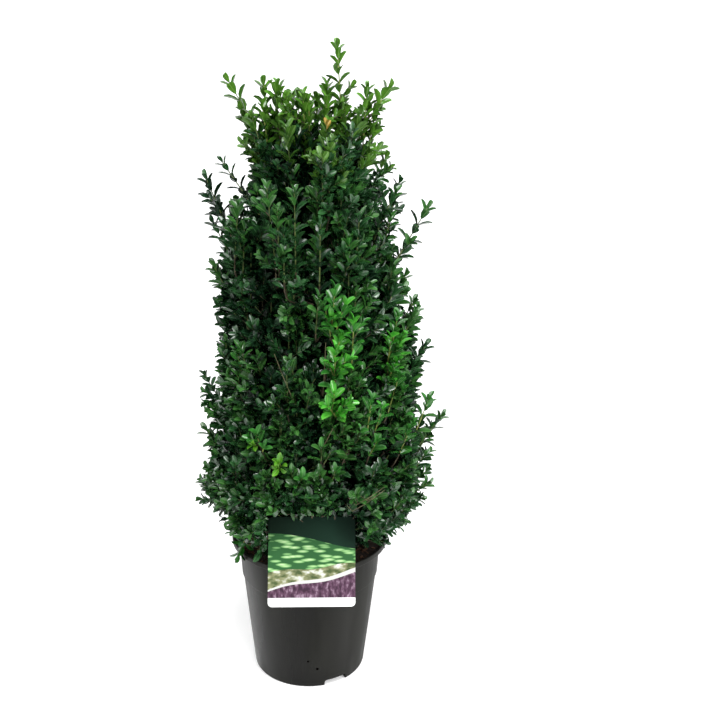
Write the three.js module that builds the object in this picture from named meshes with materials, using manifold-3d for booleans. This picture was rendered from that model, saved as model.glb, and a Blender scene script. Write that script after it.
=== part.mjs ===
// A boxwood cone in a round nursery pot, with a plant label hung over the front of the rim.
// Millimetres, +Z up. The origin is the middle of the pot's flat underside, and the label faces -Y.
//
// The pot is filled with potting soil. The main stem rises from the soil, boughs leave it in three tiers,
// and each bough carries one mass of foliage. A last mass sits on the stem's tip. Every mass keeps to its
// own cell of the crown: a sector of a ring, between two floors that rise outwards.
import * as THREE from "three";
import { mergeVertices } from "three/addons/utils/BufferGeometryUtils.js";
import Module from "manifold-3d";

const wasm = await Module();
wasm.setup();

// ---------------------------------------------------------------- driving dimensions

const TURN = 2 * Math.PI;
const DEGREE = Math.PI / 180;
const CLEARANCE = 0.3; // between pieces that meet
const OVERCUT = 5; // how far a cutting solid passes the surface that it opens

const POT = {
  height: 220,
  rimRadius: 118.5,
  rimHeight: 8.5,
  rimEdge: 1, // chamfer along the rim
  ledgeRadius: 108, // outside of the wall just under the rim
  collarFoot: 158, // height of the step under the collar
  collarRadius: 104.3,
  step: 1.5, // height over which the collar's step slopes
  bodyRadius: 102.5, // outside of the wall just under the step
  baseRadius: 86,
  baseChamfer: 3,
  wall: 1.8,
  floor: 2.4,
  sides: 32,
};
// Channels under the base, open to the side, each with a hole in its roof.
const DRAIN = {
  count: 3,
  firstAngle: -62 * DEGREE,
  width: 37,
  height: 10,
  innerReach: 45, // they stop here, so the middle of the base stands flat
  holeRadius: 5,
  holeAt: 66,
  holeSides: 12,
};
const SOIL = { edgeHeight: 215.2, crownHeight: 218, flatRadius: 24 };

const LABEL = {
  width: 124,
  length: 126,
  thickness: 0.9,
  corner: 6,
  cornerSteps: 4,
  lean: 25 * DEGREE, // the top leans back into the foliage
  belowRim: 50, // length of the plate that hangs below the rim's top edge
  standOff: 1.2, // from the rim to the plate's back
  offset: 2.5, // to the right of the pot's middle
  strapWidth: 16,
  strapOver: 4, // height of the strap over the rim
  strapDepth: 45, // how far the strap goes down into the soil
  strapInside: 4, // from the pot's wall to the strap
};
// The foliage stays out of the way of a look at the label, down a slope of that drop over its run.
const LABEL_ROOM = { slope: 0.53, reach: 250, margin: 3 };

const STEM = {
  footRadius: 12,
  taper: 0.8,
  flare: 7,
  flareHeight: 26,
  tipRadius: 3.4,
  tip: 700,
  sway: 5,
  bends: [4.2, 5.5], // of its sway in x and in y, in radians from foot to tip
  sides: 8,
  steps: 14,
};
const BOUGH = {
  tipShare: 0.68, // of its root's radius
  tipLift: 0.42, // share of its cell's height at which it enters its mass
  rise: 0.75,
  stagger: 7, // each bough of a tier leaves the stem this much above the last
  lowest: 14, // over the stem's foot
  rootDepth: 3, // how far its root reaches into the stem before it is cut clear
  sag: 3,
  sides: 6,
};

const CROWN = {
  base: 212,
  top: 905,
  baseRadius: 172, // of the tapering side, carried down to the base
  topRadius: 100, // of the tapering side, carried up to the top
  shoulder: 14, // the higher, the later and flatter the top closes
  skirt: 0.15, // share of the height over which the foot draws in
  skirtPinch: 0.6,
  bulge: 0.085, // the crown is fuller towards +X here
  bulgeHeight: 440,
  bulgeSpan: 130,
};
// The floor under each tier, and over the tier below it: it passes that radius at that height.
const FLOORS = {
  lower: { radius: 150, height: 226, slope: 0 },
  middle: { radius: 154, height: 400, slope: 0.9 },
  upper: { radius: 134, height: 570, slope: 1.2 },
  top: { radius: 105, height: 740, slope: 1.4 },
};
const TIERS = [
  { name: "lower", over: "middle", sectors: 6, turn: -90, inner: 45, bough: 5.4 },
  { name: "middle", over: "upper", sectors: 5, turn: -90, inner: 45, bough: 4.7 },
  { name: "upper", over: "top", sectors: 4, turn: -65, inner: 41, bough: 3.9 },
];
const CORE = {
  depth: 20, // the leaves and shoots stand this far out of the dense cores
  gap: 2.5, // from a core to its cell's walls
  top: 838, // of the top mass's core
  squareness: 6, // the higher, the sharper a core's edges
  boxParts: [2, 3, 3], // facets of a core outward, across and up
  drumParts: [10, 3], // and of the top mass's core round and up
};
const HEART = { outward: 32, lift: 0.45, topLift: 0.3 }; // where a mass's stem forks, in its cell

const SHOOT = {
  perMass: 2,
  perTopMass: 9,
  length: 86,
  lengthSpread: 14,
  sideShare: 0.94, // share of its cell's width that the tips spread over
  swing: 44 * DEGREE, // range of a shoot's turn off the straight way out
  lean: 14 * DEGREE, // range of its slope round the usual one at its height
  overhang: 8, // how far a tip may stand out of the crown's surface, or back from it
  lowRise: 46 * DEGREE, // a shoot's slope at the crown's foot and at its top
  topRise: 80 * DEGREE,
  tipGap: 5, // from a tip to its cell's floor or ceiling
  rootRadius: 1.9,
  tipRadius: 1.1,
  depth: 0.45, // share of the way from its bend to its mass's heart that a shoot reaches in
};
// Shoots that have outgrown the rest: their tips make the crown's furthest points.
// at is the compass direction of the tip in degrees from +X, with its radius and height.
const LONG_SHOOTS = [
  { tier: "top", at: 8, radius: 34, height: 940, length: 150 },
  { tier: "top", at: 180, radius: 114, height: 893, length: 120 },
  { tier: "top", at: 2, radius: 113, height: 889, length: 120 },
  { tier: "top", at: 200, radius: 62, height: 890, length: 96 },
  { tier: "upper", at: 178, radius: 146, height: 774, length: 100 },
  { tier: "upper", at: 4, radius: 130, height: 768, length: 96 },
  { tier: "upper", at: 357, radius: 165, height: 729, length: 124 },
  { tier: "upper", at: 184, radius: 147, height: 698, length: 100 },
  { tier: "middle", at: 3, radius: 156, height: 580, length: 96 },
  { tier: "middle", at: 352, radius: 169, height: 534, length: 96 },
  { tier: "middle", at: 177, radius: 166, height: 470, length: 96 },
  { tier: "middle", at: 184, radius: 160, height: 432, length: 90 },
  { tier: "lower", at: 356, radius: 198, height: 423, length: 110 },
  { tier: "lower", at: 8, radius: 190, height: 345, length: 96 },
  { tier: "lower", at: 349, radius: 178, height: 292, length: 84 },
  { tier: "lower", at: 186, radius: 178, height: 286, length: 90 },
];
const LONG_STEEPNESS = 1.35; // a long shoot's slope over that from its mass's heart to its tip

const LEAF = {
  length: 40,
  width: 21,
  thickness: 1.5,
  widestAt: 0.46, // share of the length from the root
  spread: 50 * DEGREE, // angle between a leaf and its shoot
  roll: 70 * DEGREE, // range of a blade's turn about its midrib
  pairSpacing: 24,
  bareLength: 14, // foot of a shoot that has no leaves
  youngScale: 0.72, // size of the leaves nearest the tip
  tipScale: 0.7, // size of the one leaf at the tip
  tipBack: 2.5, // from the shoot's tip to the root of that leaf
  tipSpread: 14 * DEGREE,
  sunk: 0.4, // how far past the twig's middle a leaf's root reaches
};
// Single leaves that stand straight out of the cores.
const CORE_LEAF = {
  perMass: 22,
  perTopMass: 36,
  rise: 50 * DEGREE,
  sunk: 4,
  scale: 1.15,
  smallest: 0.8,
  aimShare: 0.3, // how near to the mass's heart they point, against straight at the stem
};
const MARGIN = { leaf: 1.2, shoot: 2.5 }; // kept to the walls of a cell

const MATERIALS = {
  pot: new THREE.MeshStandardMaterial({ name: "pot", color: 0x2b2c2a, roughness: 0.5, metalness: 0 }),
  soil: new THREE.MeshStandardMaterial({ name: "soil", color: 0x2a1a12, roughness: 1, metalness: 0 }),
  label: new THREE.MeshStandardMaterial({ name: "label", color: 0xf2f4f2, roughness: 0.35, metalness: 0 }),
  bark: new THREE.MeshStandardMaterial({ name: "bark", color: 0x6b5b3e, roughness: 0.9, metalness: 0 }),
  foliage: new THREE.MeshStandardMaterial({ name: "foliage", color: 0x1c4a1f, roughness: 0.4, metalness: 0 }),
};

// ---------------------------------------------------------------- numbers and directions

const mix = (a, b, share) => a + (b - a) * share;

const polar = (angle, radius, height) =>
  new THREE.Vector3(radius * Math.cos(angle), radius * Math.sin(angle), height);

// The angle from one direction to another, from -180 to 180 degrees.
const turnTo = (from, to) => Math.atan2(Math.sin(to - from), Math.cos(to - from));

// A repeatable stream of numbers from 0 to 1.
function dice(seed) {
  let state = seed >>> 0;
  return () => {
    state = (Math.imul(state, 1664525) + 1013904223) >>> 0;
    return state / 2 ** 32;
  };
}

// Shares from 0 to 1 for the numbered leaves or shoots of a mass: the numbers in turn land far apart, and all
// of them spread evenly.
const ACROSS_STEP = 0.7548776662;
const UP_STEP = 0.569840291;
const SEED_STEP = 0.37;
function evenShare(mass, number, step) {
  const sum = 0.5 + number * step + mass.seed * SEED_STEP;
  return sum - Math.floor(sum);
}

// ---------------------------------------------------------------- solids and meshes

// A closed three.js geometry as a manifold-3d solid.
function solidOf(geometry) {
  const bare = new THREE.BufferGeometry().setAttribute("position", geometry.getAttribute("position"));
  if (geometry.index) bare.setIndex(geometry.index);
  const merged = mergeVertices(bare, 1e-4);
  return new wasm.Manifold(
    new wasm.Mesh({
      numProp: 3,
      vertProperties: new Float32Array(merged.attributes.position.array),
      triVerts: new Uint32Array(merged.index.array),
    }),
  );
}

// A manifold-3d solid as a named mesh of the scene.
function meshOf(name, solid, material) {
  const { vertProperties, triVerts } = solid.getMesh();
  const geometry = new THREE.BufferGeometry()
    .setAttribute("position", new THREE.BufferAttribute(vertProperties, 3))
    .setIndex(new THREE.BufferAttribute(triVerts, 1))
    .toNonIndexed();
  geometry.computeVertexNormals();
  const mesh = new THREE.Mesh(geometry, material);
  mesh.name = name;
  return mesh;
}

const joined = (solids) => solids.reduce((all, one) => all.add(one));

// The largest closed body of a solid: a loose scrap is dropped.
function mainBody(solid) {
  return solid.decompose().reduce((best, body) => (body.volume() > best.volume() ? body : best));
}

// A profile of [radius, height] pairs turned round the Z axis.
function turned(profile) {
  const points = profile.map(([radius, height]) => new THREE.Vector2(radius, height));
  return solidOf(new THREE.LatheGeometry(points, POT.sides).rotateX(Math.PI / 2));
}

// A box from one corner to the other, turned round the Z axis.
function block([x0, y0, z0], [x1, y1, z1], angle = 0) {
  return solidOf(
    new THREE.BoxGeometry(x1 - x0, y1 - y0, z1 - z0)
      .translate((x0 + x1) / 2, (y0 + y1) / 2, (z0 + z1) / 2)
      .rotateZ(angle),
  );
}

// An outline of [y, z] pairs carried along X, to both sides of the label's middle.
function acrossLabel(outline, width) {
  const shape = new THREE.Shape(outline.map(([y, z]) => new THREE.Vector2(y, z)));
  return solidOf(
    new THREE.ExtrudeGeometry(shape, { depth: width, bevelEnabled: false })
      .rotateY(Math.PI / 2)
      .rotateX(Math.PI / 2)
      .translate(LABEL.offset - width / 2, 0, 0),
  );
}

// A limb of a few flat sides along a line of points. side is a direction across all of it.
function limb(points, sides, side, radiusAt) {
  const steps = points.length - 1;
  const geometry = new THREE.CylinderGeometry(1, 1, 1, sides, steps);
  const position = geometry.getAttribute("position");
  for (let i = 0; i < position.count; i++) {
    const step = Math.round((position.getY(i) + 0.5) * steps);
    const before = points[Math.max(step - 1, 0)];
    const along = points[Math.min(step + 1, steps)].clone().sub(before).normalize();
    const u = side.clone().addScaledVector(along, -side.dot(along)).normalize();
    const v = new THREE.Vector3().crossVectors(u, along);
    const radius = radiusAt(step / steps);
    const corner = points[step]
      .clone()
      .addScaledVector(u, position.getX(i) * radius)
      .addScaledVector(v, position.getZ(i) * radius);
    position.setXYZ(i, corner.x, corner.y, corner.z);
  }
  return solidOf(geometry);
}

// ---------------------------------------------------------------- pot and soil

const ledgeHeight = POT.height - POT.rimHeight;

function potWallRadius(height) {
  if (height < POT.collarFoot) return mix(POT.baseRadius, POT.bodyRadius, height / POT.collarFoot);
  const share = (height - POT.collarFoot) / (ledgeHeight - POT.collarFoot);
  return mix(POT.collarRadius, POT.ledgeRadius, share);
}

// The pot's inside up to the rim's ledge, drawn in by a margin: the cavity of the pot, or the soil in it.
function insideProfile(margin) {
  const inset = POT.wall + margin;
  const lip = ledgeHeight + inset;
  return [
    [0, POT.floor + margin],
    [POT.baseRadius - POT.baseChamfer - inset, POT.floor + margin],
    [POT.baseRadius - inset, POT.floor + POT.baseChamfer + margin],
    [POT.bodyRadius - inset, POT.collarFoot],
    [potWallRadius(POT.collarFoot + POT.step) - inset, POT.collarFoot + POT.step],
    [potWallRadius(lip - POT.step) - inset, lip - POT.step],
    [POT.rimRadius - inset - POT.rimEdge, lip],
    [POT.rimRadius - inset, lip + POT.rimEdge],
  ];
}

// The channels grown by a margin: the channels themselves, or those with their own walls.
function drainChannels(margin) {
  const half = DRAIN.width / 2 + margin;
  const inner = [DRAIN.innerReach - margin, -half, -OVERCUT];
  const outer = [POT.baseRadius + OVERCUT, half, DRAIN.height + margin];
  const angles = Array.from({ length: DRAIN.count }, (_, i) => DRAIN.firstAngle + (i * TURN) / DRAIN.count);
  return joined(angles.map((angle) => block(inner, outer, angle)));
}

function drainHoles() {
  const { count, firstAngle, holeRadius, holeAt, holeSides, height } = DRAIN;
  const hole = new THREE.CylinderGeometry(holeRadius, holeRadius, 2 * OVERCUT, holeSides);
  hole.rotateX(Math.PI / 2).translate(holeAt, 0, height).rotateZ(firstAngle);
  return joined(Array.from({ length: count }, (_, i) => solidOf(hole.clone().rotateZ((i * TURN) / count))));
}

function makePot() {
  const rim = POT.rimRadius;
  const outside = turned([
    [0, 0],
    [POT.baseRadius - POT.baseChamfer, 0],
    [potWallRadius(POT.baseChamfer), POT.baseChamfer],
    [POT.bodyRadius, POT.collarFoot],
    [potWallRadius(POT.collarFoot + POT.step), POT.collarFoot + POT.step],
    [POT.ledgeRadius, ledgeHeight],
    [rim - POT.rimEdge, ledgeHeight],
    [rim, ledgeHeight + POT.rimEdge],
    [rim, POT.height - POT.rimEdge],
    [rim - POT.rimEdge, POT.height],
    [0, POT.height],
  ]);
  const brim = POT.height + OVERCUT;
  const cavity = turned([...insideProfile(0), [rim - POT.wall, brim], [0, brim]]);
  return outside
    .subtract(cavity.subtract(drainChannels(POT.wall)))
    .subtract(drainChannels(0))
    .subtract(drainHoles());
}

function makeSoil() {
  const filling = turned([
    ...insideProfile(CLEARANCE),
    [POT.rimRadius - POT.wall - CLEARANCE, SOIL.edgeHeight],
    [SOIL.flatRadius, SOIL.crownHeight],
    [0, SOIL.crownHeight],
  ]);
  return filling.subtract(drainChannels(POT.wall + CLEARANCE)).subtract(labelStrap(CLEARANCE));
}

// ---------------------------------------------------------------- label

// The plate stands on a slanted plane that passes just in front of the rim's top edge.
const plateFoot = new THREE.Vector2(-POT.rimRadius - LABEL.standOff, POT.height + CLEARANCE);
const plateUp = new THREE.Vector2(Math.sin(LABEL.lean), Math.cos(LABEL.lean));
const plateTop = plateFoot.clone().addScaledVector(plateUp, LABEL.length - LABEL.belowRim);
const plateBottom = plateFoot.clone().addScaledVector(plateUp, -LABEL.belowRim);

// The strap leaves the plate's back above the rim, bends over it and goes straight down into the soil.
function labelStrap(margin) {
  const half = LABEL.thickness / 2 + margin;
  const over = POT.height + LABEL.strapOver;
  const down = -(POT.collarRadius - POT.wall - LABEL.strapInside);
  const end = POT.height - LABEL.strapDepth - margin;
  const root = plateFoot.x + (over - plateFoot.y) * Math.tan(LABEL.lean) - margin;
  const outline = [
    [root, over - half],
    [down - half, over - half],
    [down - half, end],
    [down + half, end],
    [down + half, over + half],
    [root, over + half],
  ];
  return acrossLabel(outline, LABEL.strapWidth + 2 * margin);
}

function makeLabel() {
  const half = LABEL.width / 2;
  const low = -LABEL.belowRim;
  const high = LABEL.length - LABEL.belowRim;
  const r = LABEL.corner;
  const face = new THREE.Shape()
    .absarc(half - r, low + r, r, -Math.PI / 2, 0)
    .absarc(half - r, high - r, r, 0, Math.PI / 2)
    .absarc(-half + r, high - r, r, Math.PI / 2, Math.PI)
    .absarc(-half + r, low + r, r, Math.PI, 1.5 * Math.PI);
  const options = { depth: LABEL.thickness, bevelEnabled: false, curveSegments: LABEL.cornerSteps };
  const plate = new THREE.ExtrudeGeometry(face, options)
    .rotateX(Math.PI / 2 - LABEL.lean)
    .translate(LABEL.offset, plateFoot.x, plateFoot.y);
  return solidOf(plate).add(labelStrap(0));
}

// The room in front of the label and in the way of a look at it: as a test, and as a solid to cut with.
function inLabelRoom(point, margin) {
  if (Math.abs(point.x - LABEL.offset) > LABEL.width / 2 + margin) return false;
  const behind = (point.y - plateFoot.x) * plateUp.y - (point.z - plateFoot.y) * plateUp.x;
  const ceiling = plateTop.y + margin + (plateTop.x - point.y) * LABEL_ROOM.slope;
  return behind < margin && point.z < ceiling;
}

function labelRoom(margin) {
  const front = -LABEL_ROOM.reach;
  const outline = [
    [front, plateBottom.y],
    [plateBottom.x + margin, plateBottom.y],
    [plateTop.x + margin, plateTop.y + margin],
    [front, plateTop.y + margin + (plateTop.x - front) * LABEL_ROOM.slope],
  ];
  return acrossLabel(outline, LABEL.width + 2 * margin);
}

// ---------------------------------------------------------------- the crown's outline and its cells

const crownShare = (height) => THREE.MathUtils.clamp((height - CROWN.base) / (CROWN.top - CROWN.base), 0, 1);

// Radius of the crown at a height and in a direction.
function crownRadius(height, angle) {
  const share = crownShare(height);
  const side = mix(CROWN.baseRadius, CROWN.topRadius, share) * Math.sqrt(1 - share ** CROWN.shoulder);
  const foot = Math.sqrt(1 - CROWN.skirtPinch * Math.max(1 - share / CROWN.skirt, 0) ** 2);
  const off = (height - CROWN.bulgeHeight) / CROWN.bulgeSpan;
  return side * foot * (1 + CROWN.bulge * Math.exp(-off * off) * Math.cos(angle));
}

const floorAt = (floor, radius) => floor.height + floor.slope * (radius - floor.radius);

// All the masses, each with its cell: a sector from an inner radius outwards, with the floor under it and the
// next tier's floor, or nothing, over it.
function crownMasses() {
  const tierMasses = TIERS.flatMap((tier, level) =>
    Array.from({ length: tier.sectors }, (_, i) => ({
      name: `foliage_${tier.name}_${i + 1}`,
      boughName: `bough_${tier.name}_${i + 1}`,
      tier: tier.name,
      seed: 100 * (level + 1) + i,
      middle: tier.turn * DEGREE + (i * TURN) / tier.sectors,
      half: Math.PI / tier.sectors,
      lift: (i - (tier.sectors - 1) / 2) * BOUGH.stagger,
      inner: tier.inner,
      bough: tier.bough,
      floor: FLOORS[tier.name],
      ceiling: FLOORS[tier.over],
    })),
  );
  const openSky = { radius: 0, height: 2 * CROWN.top, slope: 0 };
  const topMass = { name: "foliage_top", tier: "top", seed: 400, middle: 0, half: Math.PI, inner: 0 };
  return [...tierMasses, { ...topMass, bough: STEM.tipRadius, floor: FLOORS.top, ceiling: openSky }];
}

function inCell(mass, point, margin) {
  const radius = Math.hypot(point.x, point.y);
  if (radius < mass.inner + margin && mass.tier !== "top") return false;
  if (point.z < floorAt(mass.floor, radius) + margin) return false;
  if (point.z > floorAt(mass.ceiling, radius) - margin) return false;
  const off = Math.abs(turnTo(mass.middle, Math.atan2(point.y, point.x)));
  if (mass.tier !== "top" && radius * Math.sin(mass.half - off) < margin) return false;
  return !inLabelRoom(point, margin + 1);
}

// Where a height that follows from the radius meets a radius that follows from the height.
function settle(heightAt, radiusAt) {
  const passes = 20;
  let radius = CROWN.topRadius;
  for (let pass = 0; pass < passes; pass++) radius = mix(radius, radiusAt(heightAt(radius)), 0.5);
  return { radius, height: heightAt(radius) };
}

// ---------------------------------------------------------------- main stem and boughs

const stemFoot = SOIL.crownHeight + CLEARANCE;

function stemPoint(share) {
  const [bendsX, bendsY] = STEM.bends;
  const x = STEM.sway * Math.sin(share * bendsX);
  const y = STEM.sway * Math.sin(share * bendsY);
  return new THREE.Vector3(x, y, mix(stemFoot, STEM.tip, share));
}

function stemRadius(share) {
  const rise = share * (STEM.tip - stemFoot);
  const shaft = mix(STEM.footRadius, STEM.tipRadius, share ** STEM.taper);
  return shaft + STEM.flare * Math.exp(-rise / STEM.flareHeight);
}

// With a margin, the stem is its own room: what stands round it is cut with that.
function makeStem(margin) {
  const points = Array.from({ length: STEM.steps + 1 }, (_, i) => stemPoint(i / STEM.steps));
  points[STEM.steps].z += margin;
  const stem = limb(points, STEM.sides, polar(0, 1, 0), (share) => stemRadius(share) + margin);
  const reach = 2 * (STEM.footRadius + STEM.flare);
  return stem.subtract(block([-reach, -reach, stemFoot - reach], [reach, reach, stemFoot]));
}

// A bough runs from inside the stem out and up to the edge of its mass's cell.
function boughPoints(mass, margin) {
  const { inner, middle, floor, ceiling } = mass;
  const tipHeight = mix(floorAt(floor, inner), floorAt(ceiling, inner), BOUGH.tipLift);
  const tip = polar(middle, inner + margin, tipHeight);
  const rootHeight = Math.max(tip.z - BOUGH.rise * inner + mass.lift, stemFoot + BOUGH.lowest);
  const share = (rootHeight - stemFoot) / (STEM.tip - stemFoot);
  const root = stemPoint(share).add(polar(middle, stemRadius(share) - BOUGH.rootDepth, 0));
  const waist = root.clone().lerp(tip, 0.5);
  waist.z -= BOUGH.sag;
  return [root, waist, tip];
}

// With a margin, the bough is the room that its mass leaves for it.
function boughLimb(mass, margin) {
  const radiusAt = (share) => mass.bough * mix(1, BOUGH.tipShare, share) + margin;
  return limb(boughPoints(mass, margin), BOUGH.sides, polar(mass.middle + TURN / 4, 1, 0), radiusAt);
}

// ---------------------------------------------------------------- the masses' cores and stems

// The middle of a mass, where its stem forks into shoots.
function heartOf(mass) {
  if (mass.tier === "top") return new THREE.Vector3(0, 0, mix(STEM.tip, CORE.top, HEART.topLift));
  const radius = mass.inner + HEART.outward;
  const height = mix(floorAt(mass.floor, radius), floorAt(mass.ceiling, radius), HEART.lift);
  return polar(mass.middle, radius, height);
}

// A block that fills the heart of a mass's cell, as deep as the leaves leave it, with its corners drawn in.
// A box's x, y and z become outward, across and up in the cell. The top mass's core is a drum.
function makeCore(mass) {
  const isTop = mass.tier === "top";
  const box = new THREE.BoxGeometry(2, 2, 2, ...CORE.boxParts);
  const drum = new THREE.CylinderGeometry(1, 1, 2, ...CORE.drumParts).rotateX(Math.PI / 2);
  const geometry = isTop ? drum : box;
  const position = geometry.getAttribute("position");
  for (let i = 0; i < position.count; i++) {
    const point = new THREE.Vector3().fromBufferAttribute(position, i);
    const spans = isTop ? [Math.hypot(point.x, point.y), point.z] : point.toArray();
    const sum = spans.reduce((total, span) => total + Math.abs(span) ** CORE.squareness, 0);
    point.divideScalar(sum ** (1 / CORE.squareness));
    const angle = isTop ? Math.atan2(point.y, point.x) : mass.middle + point.y * mass.half;
    const outward = isTop ? Math.hypot(point.x, point.y) : (point.x + 1) / 2;
    const inner = isTop ? 0 : mass.inner + CORE.gap;
    const topAt = (radius) => (isTop ? CORE.top : floorAt(mass.ceiling, radius) - CORE.gap);
    const { radius, height } = settle(
      (r) => mix(floorAt(mass.floor, r) + CORE.gap, topAt(r), (point.z + 1) / 2),
      (h) => mix(inner, crownRadius(h, angle) - CORE.depth, outward),
    );
    const placed = polar(angle, radius, height);
    if (!isTop) placed.add(polar(mass.middle + TURN / 4, -point.y * CORE.gap, 0));
    position.setXYZ(i, placed.x, placed.y, placed.z);
  }
  return solidOf(geometry).subtract(labelRoom(LABEL_ROOM.margin));
}

// The mass's own stem starts inside the tip that carries it, and the limb's room then cuts it clear.
function makeMassStem(mass) {
  const start = mass.tier === "top" ? stemPoint(0.99) : boughPoints(mass, -BOUGH.rootDepth)[2];
  const radius = mass.bough * BOUGH.tipShare;
  return limb([start, heartOf(mass)], BOUGH.sides, polar(mass.middle + TURN / 4, 1, 0), () => radius);
}

// ---------------------------------------------------------------- shoots

const tipLeafReach = LEAF.length * LEAF.tipScale * Math.cos(LEAF.tipSpread) - LEAF.tipBack;

// A shoot bends once, where it comes to the light. Its last length is straight and carries the leaves, and
// the leaf at its end reaches the given tip.
function shootTo(mass, tip, at, rise, length, turn) {
  const direction = polar(at, Math.cos(rise), Math.sin(rise));
  const end = tip.clone().addScaledVector(direction, -tipLeafReach);
  const bend = tip.clone().addScaledVector(direction, -length);
  const start = bend.clone().lerp(heartOf(mass), SHOOT.depth);
  return { start, bend, end, direction, side: polar(at + TURN / 4, 1, 0), turn };
}

// One shoot, worked out from its number in the mass.
function growShoot(mass, number) {
  const roll = dice(mass.seed * 1000 + number);
  roll();
  const across = evenShare(mass, number, ACROSS_STEP) * 2 - 1;
  const up = evenShare(mass, number, UP_STEP);
  const at = mass.middle + across * mass.half * SHOOT.sideShare;
  const length = SHOOT.length + (roll() * 2 - 1) * SHOOT.lengthSpread;
  const overhang = mix(-SHOOT.overhang, SHOOT.overhang, roll());
  const swing = (roll() - 0.5) * SHOOT.swing;
  const lean = (roll() - 0.5) * SHOOT.lean;
  const highest = Math.min(mass.ceiling.height, CROWN.top);
  const nominal = crownShare(mix(mass.floor.height, highest, up));
  const rise = mix(SHOOT.lowRise, SHOOT.topRise, nominal) + lean;
  const climb = Math.max(length * (Math.sin(rise) - mass.floor.slope * Math.cos(rise)), 0) + SHOOT.tipGap;
  const topAt = (radius) => Math.min(floorAt(mass.ceiling, radius), CROWN.top) - SHOOT.tipGap;
  const lowAt = (radius) => Math.min(floorAt(mass.floor, radius) + climb, topAt(radius));
  const { radius, height } = settle(
    (r) => mix(lowAt(r), topAt(r), up),
    (h) => crownRadius(h, at) + overhang,
  );
  return shootTo(mass, polar(at, radius, height), at + swing, rise, length, roll() * Math.PI);
}

function growLongShoot(mass, { at: degrees, radius, height, length }) {
  const at = degrees * DEGREE;
  const tip = polar(at, radius, height);
  const run = tip.clone().sub(heartOf(mass));
  const rise = Math.atan2(run.z * LONG_STEEPNESS, Math.hypot(run.x, run.y));
  return shootTo(mass, tip, at, rise, length, at);
}

function shootsOf(mass) {
  const count = mass.tier === "top" ? SHOOT.perTopMass : SHOOT.perMass;
  const shoots = Array.from({ length: count }, (_, i) => growShoot(mass, i));
  const isHome = (at) => Math.abs(turnTo(mass.middle, at * DEGREE)) <= mass.half;
  const long = LONG_SHOOTS.filter(({ tier, at }) => tier === mass.tier && isHome(at));
  shoots.push(...long.map((one) => growLongShoot(mass, one)));
  return shoots.filter(({ bend, end }) =>
    [bend, end].every((point) => inCell(mass, point, MARGIN.shoot)),
  );
}

function makeTwig({ start, bend, end, side }) {
  return limb([start, bend, end], 3, side, (share) => mix(SHOOT.rootRadius, SHOOT.tipRadius, share));
}

// ---------------------------------------------------------------- leaves

// One leaf, folded a little along its midrib: root, tip and the two sides of its blade. A leaf that would
// leave its mass's cell isn't grown.
function makeLeaf(mass, root, along, across, scale) {
  const up = new THREE.Vector3().crossVectors(along, across);
  const widest = root
    .clone()
    .addScaledVector(along, LEAF.length * scale * LEAF.widestAt)
    .addScaledVector(up, LEAF.thickness);
  const half = (LEAF.width * scale) / 2;
  const corners = [
    root,
    root.clone().addScaledVector(along, LEAF.length * scale),
    widest.clone().addScaledVector(across, half),
    widest.clone().addScaledVector(across, -half),
  ];
  if (!corners.every((corner) => inCell(mass, corner, MARGIN.leaf))) return [];
  const coordinates = corners.flatMap((corner) => corner.toArray());
  const geometry = new THREE.BufferGeometry()
    .setAttribute("position", new THREE.Float32BufferAttribute(coordinates, 3))
    .setIndex([0, 2, 1, 0, 1, 3, 0, 3, 2, 1, 2, 3]);
  return [solidOf(geometry)];
}

// The leaves of a shoot: opposite pairs, each pair turned a quarter from the last, and one at the tip.
function shootLeaves(mass, { bend, end, direction, side, turn }, roll) {
  const leafAt = (back, around, spread, scale) => {
    const out = side.clone().applyAxisAngle(direction, around);
    const along = direction.clone().multiplyScalar(Math.cos(spread)).addScaledVector(out, Math.sin(spread));
    const across = new THREE.Vector3().crossVectors(direction, out);
    across.applyAxisAngle(along, (roll() - 0.5) * LEAF.roll);
    const root = end.clone().addScaledVector(direction, -back).addScaledVector(along, -LEAF.sunk);
    return makeLeaf(mass, root, along, across, scale);
  };
  const pairs = Math.round((end.distanceTo(bend) - LEAF.bareLength) / LEAF.pairSpacing);
  const leaves = leafAt(LEAF.tipBack, turn, LEAF.tipSpread, LEAF.tipScale);
  for (let pair = 0; pair < pairs; pair++) {
    const back = (pair + 0.5) * LEAF.pairSpacing;
    const scale = mix(LEAF.youngScale, 1, pair / pairs);
    const around = turn + (pair * TURN) / 4;
    leaves.push(...leafAt(back, around, LEAF.spread, scale));
    leaves.push(...leafAt(back, around + TURN / 2, LEAF.spread, scale));
  }
  return leaves;
}

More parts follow.
